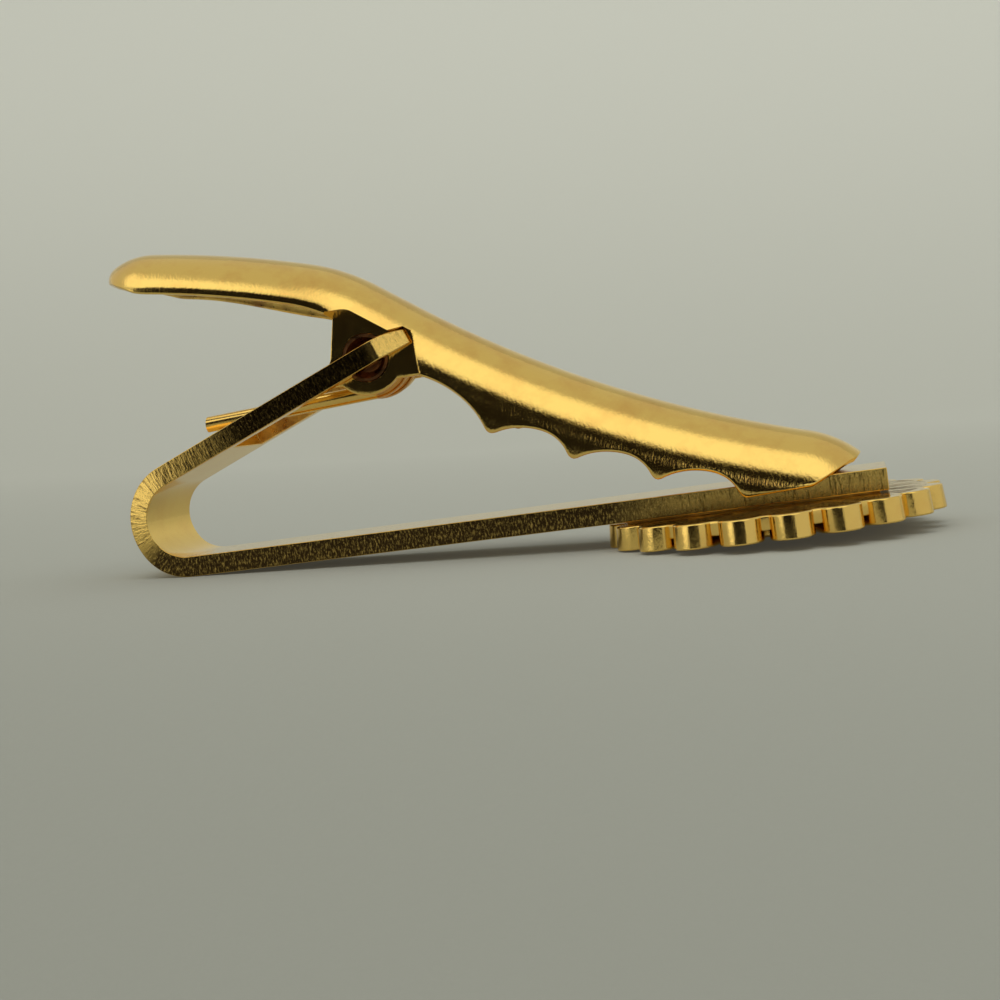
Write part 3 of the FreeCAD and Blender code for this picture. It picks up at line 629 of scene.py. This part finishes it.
# %% Bridge the rim
border = {}
for face in lever.data.polygons:
    for key in face.edge_keys:
        border[key] = border.get(key, 0) + 1
pick(lever, "EDGE", lambda edge: border[edge.key] == 1)
bpy.ops.mesh.bridge_edge_loops()
bpy.ops.mesh.select_all(action="SELECT")
bpy.ops.mesh.normals_make_consistent(inside=False)
bpy.ops.object.mode_set(mode="OBJECT")
for finish in ("outside", "inside"):
    lever.data.materials.append(bpy.data.materials.new(finish))
for face in lever.data.polygons:
    face.material_index = 1 if min(face.vertices) >= outside_points else 0
top_face = max(lever.data.polygons, key=lambda face: face.center.z)
print("the lever's top faces", [round(side, 2) for side in top_face.normal])

# %% Drill the ears
EAR_HOLE, HOLE_SLACK = 1.45, 0.01
LEVER_SHARP = 50

bpy.ops.object.select_all(action="DESELECT")
bpy.ops.mesh.primitive_cylinder_add(vertices=96, radius=EAR_HOLE, depth=3 * HALF_WIDTH, location=HINGE,
                                    rotation=(math.pi / 2, 0, 0))
cut_away(lever, started("ear_drill"))
# The wall of the ear hole gets the inside finish, which is painted shade.
for face in lever.data.polygons:
    if math.hypot(face.center.x - HINGE.x, face.center.z - HINGE.z) < EAR_HOLE + HOLE_SLACK:
        face.material_index = 1
only(lever)
bpy.ops.object.shade_smooth_by_angle(angle=math.radians(LEVER_SHARP))
lay_down(lever, "lever", "lever_gold", "lever_jaw")

# %% [markdown]
# The rosette is a round plate with twenty petals, plain in the middle so that a stone can be glued
# there. One petal is modelled from a circle whose inner half is drawn towards the middle, given its
# thickness and rounded, and then copied round. Real ones are cast or stamped, so all the edges are
# soft, and the tips are a little shorter at the back.

# %% One petal
PETALS = 20
ROSETTE_CENTRE = Vector((38.5, 0, 0))
SOLDER = 0.1
ROSETTE_THICKNESS, PETAL_STEP = 1.5, 0.15
PETAL_TIP_AT, PETAL_TIP_RADIUS, PETAL_ROOT_AT, PETAL_ROOT_HALF = 8.4, 1.18, 4.4, 0.62
PETAL_DRAFT, PETAL_ROUND = 0.12, 0.2
PETAL_INNER, ROOT_SQUARE = 0.01, 12

petal_deep = ROSETTE_THICKNESS - PETAL_STEP
bpy.ops.object.select_all(action="DESELECT")
bpy.ops.mesh.primitive_circle_add(vertices=40, radius=PETAL_TIP_RADIUS, fill_type="NGON",
                                  location=(PETAL_TIP_AT, 0, 0))
petal = started("petal")
for corner in petal.data.vertices:
    inside = PETAL_TIP_AT - corner.co.x
    if inside > PETAL_INNER:
        share = inside / PETAL_TIP_RADIUS
        corner.co.x = PETAL_TIP_AT - (PETAL_TIP_AT - PETAL_ROOT_AT) * share
        half = between(PETAL_TIP_RADIUS, PETAL_ROOT_HALF, share)
        corner.co.y = math.copysign(half * (1 - share ** ROOT_SQUARE), corner.co.y)
pick(petal, "FACE", lambda face: True)
bpy.ops.mesh.extrude_region_move(TRANSFORM_OT_translate={"value": (0, 0, -petal_deep)})
bpy.ops.object.mode_set(mode="OBJECT")
for corner in petal.data.vertices:
    if corner.co.z > -petal_deep / 2:
        corner.co.x -= PETAL_DRAFT * max(corner.co.x - PETAL_TIP_AT, 0) / PETAL_TIP_RADIUS
close_up(petal)
soften(petal, PETAL_ROUND, segments=4)
print("a petal has", len(petal.data.polygons), "faces")

# %% The rosette's plate, middle and petals
PLATE_RADIUS, PLATE_DEEP = 8.7, 0.8
MIDDLE_RADIUS = 5.0
PLATE_ROUND = 0.12

bpy.ops.object.select_all(action="DESELECT")
bpy.ops.mesh.primitive_cylinder_add(vertices=120, radius=PLATE_RADIUS, depth=PLATE_DEEP,
                                    location=(0, 0, -PLATE_DEEP / 2))
plate = started("rosette_plate")
soften(plate, PLATE_ROUND, segments=3)
bpy.ops.object.select_all(action="DESELECT")
bpy.ops.mesh.primitive_cylinder_add(vertices=96, radius=MIDDLE_RADIUS, depth=ROSETTE_THICKNESS,
                                    location=(0, 0, -ROSETTE_THICKNESS / 2))
middle = started("rosette_middle")
soften(middle, PLATE_ROUND, segments=3)
petals = []
for number in range(PETALS):
    copy = petal.copy()
    copy.data = petal.data.copy()
    copy.matrix_world = Matrix.Rotation(2 * math.pi * (number + 0.5) / PETALS, 4, "Z")
    bpy.context.scene.collection.objects.link(copy)
    petals.append(copy)
bpy.data.objects.remove(petal)
only(plate)
for piece in petals + [middle]:
    piece.select_set(True)
bpy.ops.object.join()
rosette = started("rosette_petals")
rosette.location = ROSETTE_CENTRE + Vector((0, 0, -SOLDER))
lay_down(rosette, "frame", "rosette_gold", "rosette")

# %% [markdown]
# The spring is a single drawn wire, and its coil is already exact in the solids. A copy of that solid
# is merged and smoothed, and the end of its straight leg is trimmed. One leg bears on the bar and the
# other under the thumb piece.

# %% The spring
COIL_HALF, COIL_OUTSIDE = 0.9, 2.6
LEG_TRIM = 0.6
WIRE_SHARP = 40

spring = frame["nodes"]["torsion_spring"].copy()
spring.data = spring.data.copy()
bpy.context.scene.collection.objects.link(spring)
spring.parent = None
spring.matrix_world = Matrix.Identity(4)
spring.name = "spring_wire"
only(spring)
bpy.ops.object.mode_set(mode="EDIT")
bpy.ops.mesh.select_all(action="SELECT")
bpy.ops.mesh.remove_doubles(threshold=WELD * MM)
leg_end = min(corner.co.x for corner in spring.data.vertices) + LEG_TRIM * MM
bpy.ops.mesh.bisect(plane_co=(leg_end, 0, 0), plane_no=(1, 0, 0), use_fill=True, clear_inner=True)
bpy.ops.object.mode_set(mode="OBJECT")
bpy.ops.object.shade_smooth_by_angle(angle=math.radians(WIRE_SHARP))
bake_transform(spring)
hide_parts("torsion_spring")
print("the spring has", len(spring.data.polygons), "faces")

# %% [markdown]
# Every piece is plated brass, but each is worked differently. The gold shader below is shared: a metal
# whose fine grain breaks up the edges of its reflections, with slow ripples under it where a hand
# polished it, and a colour that drifts a little towards copper where the plating is thin. Each finish
# sets its own numbers. The pin, the coil and the inside of the lever carry painted shade: their colours
# drift to dark browns because they lie in the shade of the ears and of the lever's walls.

# %% Helpers for finishes
def nodes_for(name):
    material = bpy.data.materials.new(name)
    material.use_nodes = True
    tree = material.node_tree
    return material, tree, tree.nodes["Principled BSDF"]

def noise(tree, scale, detail=4, roughness=0.6, vector=None):
    node = tree.nodes.new("ShaderNodeTexNoise")
    node.inputs["Scale"].default_value = scale
    node.inputs["Detail"].default_value = detail
    node.inputs["Roughness"].default_value = roughness
    if vector is not None:
        tree.links.new(vector, node.inputs["Vector"])
    return node.outputs["Fac"]

def spread(tree, value, low, high, from_low=0.3, from_high=0.7):
    node = tree.nodes.new("ShaderNodeMapRange")
    node.inputs["From Min"].default_value = from_low
    node.inputs["From Max"].default_value = from_high
    node.inputs["To Min"].default_value = low
    node.inputs["To Max"].default_value = high
    tree.links.new(value, node.inputs["Value"])
    return node.outputs["Result"]

def bump(tree, height, distance, below=None):
    node = tree.nodes.new("ShaderNodeBump")
    node.inputs["Strength"].default_value = 1
    node.inputs["Distance"].default_value = distance
    tree.links.new(height, node.inputs["Height"])
    if below is not None:
        tree.links.new(below, node.inputs["Normal"])
    return node.outputs["Normal"]

def blended(tree, share, first, second):
    node = tree.nodes.new("ShaderNodeMix")
    node.data_type = "RGBA"
    node.inputs["A"].default_value = (*first, 1)
    node.inputs["B"].default_value = (*second, 1)
    tree.links.new(share, node.inputs["Factor"])
    return node.outputs["Result"]

def stretched(tree, place, sides):
    node = tree.nodes.new("ShaderNodeMapping")
    node.inputs["Scale"].default_value = sides
    tree.links.new(place, node.inputs["Vector"])
    return node.outputs["Vector"]

print("helpers for noise, bumps and blends are ready")

# %% The plated finishes
GOLD = (0.95, 0.65, 0.18)
COPPERY = (0.78, 0.40, 0.10)
# Dark browns for painted shade on the pin, the coil and the lever's inside. The darker one also paints
# shade on the sawn sides and darkens their saw lines.
SHADE_BROWN = (0.34, 0.15, 0.06)
MARK_AND_SHADE_DARK = (0.07, 0.042, 0.015)
DRIFT_SCALE, PATCH_SCALE, HAND_SCALE, GRAIN_SCALE = 450, 1600, 420, 8000
DRIFT_FROM, DRIFT_TO = 0.45, 0.75
GLOSS_LEAST, GLOSS_MOST = 0.7, 1.5
BRUSHED = (1, 0.4, 0.4)
MICRON = 1e-6

# The base and drift tones are the plate's own colour drifting towards copper. For the shaded finishes they
# are painted shade.
def gold_plate(name, gloss, grain, ripple, wear_and_shade, base_tone=GOLD, drift_tone=COPPERY):
    material, tree, shader = nodes_for(name)
    place = tree.nodes.new("ShaderNodeTexCoord").outputs["Object"]
    drift = spread(tree, noise(tree, DRIFT_SCALE, 5, 0.65, place), 0, wear_and_shade, DRIFT_FROM, DRIFT_TO)
    tree.links.new(blended(tree, drift, base_tone, drift_tone), shader.inputs["Base Color"])
    shader.inputs["Metallic"].default_value = 1
    patches = noise(tree, PATCH_SCALE, 5, 0.7, place)
    roughness = spread(tree, patches, gloss * GLOSS_LEAST, gloss * GLOSS_MOST)
    tree.links.new(roughness, shader.inputs["Roughness"])
    hand = bump(tree, noise(tree, HAND_SCALE, 2, 0.5, place), ripple * MICRON)
    brushed = stretched(tree, place, BRUSHED)
    fine = bump(tree, noise(tree, GRAIN_SCALE, 3, 0.6, brushed), grain * MICRON, hand)
    tree.links.new(fine, shader.inputs["Normal"])
    print(name, "gloss", gloss, "grain", grain, "ripple", ripple)
    return material

lever_finish = gold_plate("pressed_gold", 0.1, 11, 16, 0.5)
# Painted shade for the inside of the lever, the walls of its ear holes and the walls of the slot.
shaded_inside_finish = gold_plate("shaded_inside_gold", 0.3, 8, 16, 1.2, GOLD, SHADE_BROWN)
rosette_finish = gold_plate("cast_gold", 0.12, 6, 10, 0.3)
wire_finish = gold_plate("wire_gold", 0.16, 5, 4, 0.5)
# Painted shade for the coil, which lies between the ears.
shaded_coil_finish = gold_plate("shaded_gold", 0.2, 5, 4, 1.0, COPPERY, SHADE_BROWN)
# Painted shade, almost black, for the pin in the ear holes.
shaded_pin_finish = gold_plate("shaded_pin_gold", 0.3, 8, 4, 3.0, SHADE_BROWN, MARK_AND_SHADE_DARK)
seam_finish = gold_plate("solder_gold", 0.35, 12, 6, 1.0)
bar_finish = gold_plate("strip_gold", 0.1, 6, 12, 0.3)

# %% [markdown]
# The sides of the strip were sawn and only plated afterwards. Fine lines cross them, so they glitter
# where the flat faces mirror. Their finish stretches its noise across the strip by using the distances
# that were stored on the mesh. Two rows of stops, each a place along the strip and an amount, say how
# much painted shade darkens the sides and how deep the lines are: the straight sides are painted dark
# where they mirror the dark side of the room, and the fold and the bar's end are left bright.

# %% Sawn sides
LINES_PER_MM, LINES_LONG = 5, (1, 0.18, 1)
FLECKS_PER_MM, FLECKS_LONG = 9, (1, 0.35, 1)
LINE_FROM, LINE_TO, LINE_MOST = 0.53, 0.64, 0.75
FLECK_FROM, FLECK_TO, FLECK_LEAST = 0.5, 0.72, 0.15
LINE_DEEP, PIT_DEEP, PIT_SCALE = 40, 6, 7000
SAWN_GLOSS = 0.2
# Painted shade along the sawn sides: dark where they mirror the dark side of the room, bright at the fold
# and at the bar's end.
PAINTED_SHADE_ALONG = [(-41.5, 0), (-36, 0.1), (-30, 0.45), (-26, 1), (2.2, 1), (3.4, 0.1),
            (9, 0.1), (12, 0.5), (14, 1), (23.2, 1), (23.5, 0)]
CUT = [(-41.5, 1), (-32, 0.8), (-25, 0.45), (2.2, 0.45), (3.4, 1),
       (12, 1), (14, 0.45), (23.2, 0.45), (23.5, 0.3)]

def stored(tree, name):
    node = tree.nodes.new("ShaderNodeAttribute")
    node.attribute_name = name
    return node.outputs["Fac"]

def combined(tree, first, second, operation="MULTIPLY"):
    node = tree.nodes.new("ShaderNodeMath")
    node.operation = operation
    tree.links.new(first, node.inputs[0])
    tree.links.new(second, node.inputs[1])
    return node.outputs["Value"]

def graded(tree, value, stops):
    low, high = stops[0][0], stops[-1][0]
    ramp = tree.nodes.new("ShaderNodeValToRGB")
    tree.links.new(spread(tree, value, 0, 1, low, high), ramp.inputs["Fac"])
    for place, amount in stops[1:-1]:
        ramp.color_ramp.elements.new((place - low) / (high - low)).color = (amount, amount, amount, 1)
    for end, (place, amount) in ((0, stops[0]), (-1, stops[-1])):
        ramp.color_ramp.elements[end].color = (amount, amount, amount, 1)
    return ramp.outputs["Color"]

def sawn_shaded_gold():
    material, tree, shader = nodes_for("sawn_shaded_gold")
    place = tree.nodes.new("ShaderNodeTexCoord").outputs["Object"]
    distance, height = stored(tree, "along"), stored(tree, "across")
    flat = tree.nodes.new("ShaderNodeCombineXYZ")
    tree.links.new(distance, flat.inputs["X"])
    tree.links.new(height, flat.inputs["Y"])
    lines = noise(tree, LINES_PER_MM, 3, 0.7, stretched(tree, flat.outputs["Vector"], LINES_LONG))
    flecks = noise(tree, FLECKS_PER_MM, 3, 0.7, stretched(tree, flat.outputs["Vector"], FLECKS_LONG))
    # Painted shade along the strip, broken up by brighter flecks.
    painted_shade = graded(tree, distance, PAINTED_SHADE_ALONG)
    flecked_shade = combined(tree, painted_shade, spread(tree, flecks, 1, FLECK_LEAST, FLECK_FROM, FLECK_TO))
    depth = graded(tree, distance, CUT)
    scored = combined(tree, depth, spread(tree, lines, 0, LINE_MOST, LINE_FROM, LINE_TO))
    wear_and_shade = blended(tree, flecked_shade, GOLD, MARK_AND_SHADE_DARK)
    marked = blended(tree, scored, GOLD, MARK_AND_SHADE_DARK)
    tree.links.new(wear_and_shade, marked.node.inputs["A"])
    tree.links.new(marked, shader.inputs["Base Color"])
    shader.inputs["Metallic"].default_value = 1
    shader.inputs["Roughness"].default_value = SAWN_GLOSS
    cut = bump(tree, lines, LINE_DEEP * MICRON)
    tree.links.new(depth, cut.node.inputs["Strength"])
    pitted = bump(tree, noise(tree, PIT_SCALE, 3, 0.7, place), PIT_DEEP * MICRON, cut)
    tree.links.new(pitted, shader.inputs["Normal"])
    return material

sawn_shaded_finish = sawn_shaded_gold()
print("the saw left about", LINES_PER_MM, "lines in a millimetre")

# %% [markdown]
# Each face then gets its finish. The sides of the strip and its cut end are sawn and carry painted
# shade, the walls of the slot get the inside finish's painted shade, and the coil of the spring gets
# painted shade too.

# %% Dress the pieces
SIDEWAYS, ENDWAYS, END_REACH = 0.75, 0.9, 0.02
SLOT_MARGIN = 1.02

def dress(piece, *finishes):
    chosen = [face.material_index for face in piece.data.polygons]
    piece.data.materials.clear()
    for finish in finishes:
        piece.data.materials.append(finish)
    piece.data.polygons.foreach_set("material_index", [min(index, len(finishes) - 1) for index in chosen])

dress(strip, bar_finish, sawn_shaded_finish, shaded_inside_finish)
sawn = 0
for face in strip.data.polygons:
    side = abs(face.normal.y) > SIDEWAYS
    end = face.normal.x > ENDWAYS and face.center.x > END_REACH
    face.material_index = 1 if side or end else 0
    sawn += face.material_index
    # The slot walls get the inside finish, which is painted shade.
    if side and abs(face.center.y) < SLOT_MARGIN * FORK_HALF * MM:
        face.material_index = 2
# The lever's inside gets painted shade.
dress(lever, lever_finish, shaded_inside_finish)
dress(rosette, rosette_finish)
dress(spring, wire_finish, shaded_coil_finish)
# The coil gets painted shade.
for face in spring.data.polygons:
    from_pin = math.hypot(face.center.x - pivot.x, face.center.z - pivot.z)
    face.material_index = 1 if from_pin < COIL_OUTSIDE * MM else 0
dress(frame["nodes"]["hinge_pin"], shaded_pin_finish)
dress(frame["nodes"]["solder_seam"], seam_finish)
print(sawn, "faces of the strip are sawn")

# %% [markdown]
# Polished metal shows the room more than itself, so the room is built with as much care as the clip.
# The floor is a sheet of paper that runs back and curves up behind, so that no line shows where it
# ends. A second sheet lies in front of it. That one is left out of mirrors, so that metal that looks
# forwards shows the dark side of the room and not the paper.

# %% Floor and backdrop
FLOOR_FRONT, FLOOR_BACK, FLOOR_HALF, WALL_TOP = -0.08, 0.7, 0.9, 0.8
FLOOR_CURVE = 0.5
FRONT_SIDE = 4 * FLOOR_HALF

bpy.ops.object.select_all(action="DESELECT")
bpy.ops.mesh.primitive_plane_add(size=1, location=(0, (FLOOR_FRONT + FLOOR_BACK) / 2, 0))
bpy.context.object.scale = (2 * FLOOR_HALF, FLOOR_BACK - FLOOR_FRONT, 1)
floor = started("paper_floor")
pick(floor, "VERT", lambda corner: corner.co.y > 0)
bpy.ops.mesh.extrude_region_move(TRANSFORM_OT_translate={"value": (0, 0, WALL_TOP)})
bpy.ops.object.mode_set(mode="OBJECT")
soften(floor, FLOOR_CURVE, segments=32)
bpy.ops.object.select_all(action="DESELECT")
bpy.ops.mesh.primitive_plane_add(size=1, location=(0, FLOOR_FRONT - FRONT_SIDE / 2, 0))
bpy.context.object.scale = (FRONT_SIDE, FRONT_SIDE, 1)
front_floor = started("paper_front")
front_floor.visible_glossy = False
print("the paper is", [round(side, 2) for side in floor.dimensions], "m")

# %% [markdown]
# The paper is matt, with a fine fibre. Its colour is painted light and shade: darker in front, where
# the dark side of the room stands, and paler towards the back, the top and the right, where the light
# comes from, so it is graded along a slanting direction.

# %% Paper
# Painted light and shade of the paper: darker in front, paler at the back, the top and the right.
PAPER_IN_SHADE = (0.27, 0.277, 0.242)
PAPER_IN_LIGHT = (0.62, 0.63, 0.57)
PAINTED_PAPER_LIGHT = [(-0.015, 0), (-0.003, 0.25), (0.026, 0.5), (0.16, 0.8), (0.3, 1)]
PAINTED_LIGHT_WAY = (0.06, 0.15, 1)
PAPER_ROUGHNESS, PAPER_SHEEN = 0.9, 0.2
FIBRE_SCALE, FIBRE_DEEP = 2600, 20

def dotted(tree, vector, direction):
    node = tree.nodes.new("ShaderNodeVectorMath")
    node.operation = "DOT_PRODUCT"
    node.inputs[1].default_value = direction
    tree.links.new(vector, node.inputs[0])
    return node.outputs["Value"]

paper, tree, shader = nodes_for("paper")
place = tree.nodes.new("ShaderNodeTexCoord").outputs["Object"]
# high is the share of painted light along the slanting direction.
high = graded(tree, dotted(tree, place, PAINTED_LIGHT_WAY), PAINTED_PAPER_LIGHT)
high.node.color_ramp.interpolation = "B_SPLINE"
lit_paper_colour = blended(tree, high, PAPER_IN_SHADE, PAPER_IN_LIGHT)
tree.links.new(lit_paper_colour, shader.inputs["Base Color"])
shader.inputs["Roughness"].default_value = PAPER_ROUGHNESS
shader.inputs["Specular IOR Level"].default_value = PAPER_SHEEN
fibre = bump(tree, noise(tree, FIBRE_SCALE, 4, 0.6, place), FIBRE_DEEP * MICRON)
tree.links.new(fibre, shader.inputs["Normal"])
dress(floor, paper)
dress(front_floor, paper)
print("the paper goes from", PAPER_IN_SHADE, "to", PAPER_IN_LIGHT)

# %% [markdown]
# The backdrop is far from the lamp, so it would be grey. It glows a little by itself, but only for the
# camera and for mirrors, which is what the light path's rays tell apart. So the metal shows the pale
# paper too, and no light from it reaches the clip as a lamp.

# %% Pale backdrop
PAPER_GLOW = 0.3

rays = tree.nodes.new("ShaderNodeLightPath")
seen = combined(tree, rays.outputs["Is Camera Ray"], rays.outputs["Is Glossy Ray"], "MAXIMUM")
# The glow follows the paper's painted light.
glow = combined(tree, seen, spread(tree, high, 0, PAPER_GLOW, 0, 1))
tree.links.new(lit_paper_colour, shader.inputs["Emission Color"])
tree.links.new(glow, shader.inputs["Emission Strength"])
print("the palest paper glows at", PAPER_GLOW)

# %% [markdown]
# The room is plain and pale, with one dark side in front. Metal facing that way turns black, and its
# edge against bright windows is what makes gold look like gold. Each side of the dark part is a plane
# through the clip, so a dot product tells which side a direction is on. Five soft windows are laid over
# it, each round a direction that a bright part of the clip mirrors. The camera itself sees only the
# plain room. A window is given by the turn and rise of its middle, and by the angles from there at
# which it starts to fade and ends.

# %% The room
ROOM = (0.54, 0.54, 0.49)
WINDOW = (1.12, 1.1, 1.0)
DARK = (0.012, 0.011, 0.01)
DARK_LEFT, DARK_RIGHT, DARK_TOP = math.radians(-34), math.radians(22), math.radians(40)
EDGE_SOFT = 0.05
HIGH_RIGHT = ((26, 57), 13, 26)
FAR_LEFT = ((-64, 50), 9, 20)
HIGH_LEFT = ((-38, 50), 13, 18)
LOW_RIGHT = ((13.3, 16.3), 5, 8.5)
LOW_LEFT = ((-53, 8), 9, 17)
WINDOWS = [HIGH_RIGHT, FAR_LEFT, HIGH_LEFT, LOW_RIGHT, LOW_LEFT]

world = bpy.data.worlds.new("room")
bpy.context.scene.world = world
world.use_nodes = True
tree = world.node_tree
way = tree.nodes.new("ShaderNodeTexCoord").outputs["Generated"]

def within(direction, low, high):
    share = spread(tree, dotted(tree, way, direction), 0, 1, low, high)
    share.node.interpolation_type = "SMOOTHSTEP"
    return share

def beyond(direction):
    return within(direction, -EDGE_SOFT / 2, EDGE_SOFT / 2)

right = beyond((-math.cos(DARK_RIGHT), -math.sin(DARK_RIGHT), 0))
left = beyond((math.cos(DARK_LEFT), math.sin(DARK_LEFT), 0))
under = beyond((0, -math.sin(DARK_TOP), -math.cos(DARK_TOP)))
dark = combined(tree, combined(tree, right, left), under)
print("the dark side spans", round(math.degrees(DARK_RIGHT - DARK_LEFT)), "degrees")

# %% The windows
def looking(turn, rise):
    turn, rise = math.radians(turn), math.radians(rise)
    return Vector((math.sin(turn) * math.cos(rise), -math.cos(turn) * math.cos(rise), math.sin(rise)))

bright = None
for (turn, rise), full, none in WINDOWS:
    window = within(looking(turn, rise), math.cos(math.radians(none)), math.cos(math.radians(full)))
    bright = window if bright is None else combined(tree, bright, window, "MAXIMUM")

walls = blended(tree, dark, ROOM, DARK)
room = blended(tree, bright, ROOM, WINDOW)
tree.links.new(walls, room.node.inputs["A"])
rays = tree.nodes.new("ShaderNodeLightPath")
plain = blended(tree, rays.outputs["Is Camera Ray"], ROOM, ROOM)
tree.links.new(room, plain.node.inputs["A"])
tree.links.new(plain, tree.nodes["Background"].inputs["Color"])
print("the room has", len(WINDOWS), "windows")

# %% [markdown]
# One large lamp overhead lights the paper and gives the soft shadow under the clip. It is left out of
# mirrors, where its square shape would show, because the room already makes the reflections.

# %% The lamp
LAMP_PLACE = Vector((0.05, -0.05, 0.5))
LAMP_SIZE, LAMP_POWER = 0.5, 0.9

lamp_data = bpy.data.lights.new("soft_lamp", "AREA")
lamp_data.size = LAMP_SIZE
lamp_data.energy = LAMP_POWER
lamp = bpy.data.objects.new("soft_lamp", lamp_data)
bpy.context.scene.collection.objects.link(lamp)
lamp.location = LAMP_PLACE
lamp.rotation_euler = (-LAMP_PLACE).to_track_quat("-Z", "Y").to_euler()
lamp.visible_camera = False
lamp.visible_glossy = False
print("the lamp is", round(LAMP_PLACE.length * 1000), "mm away")
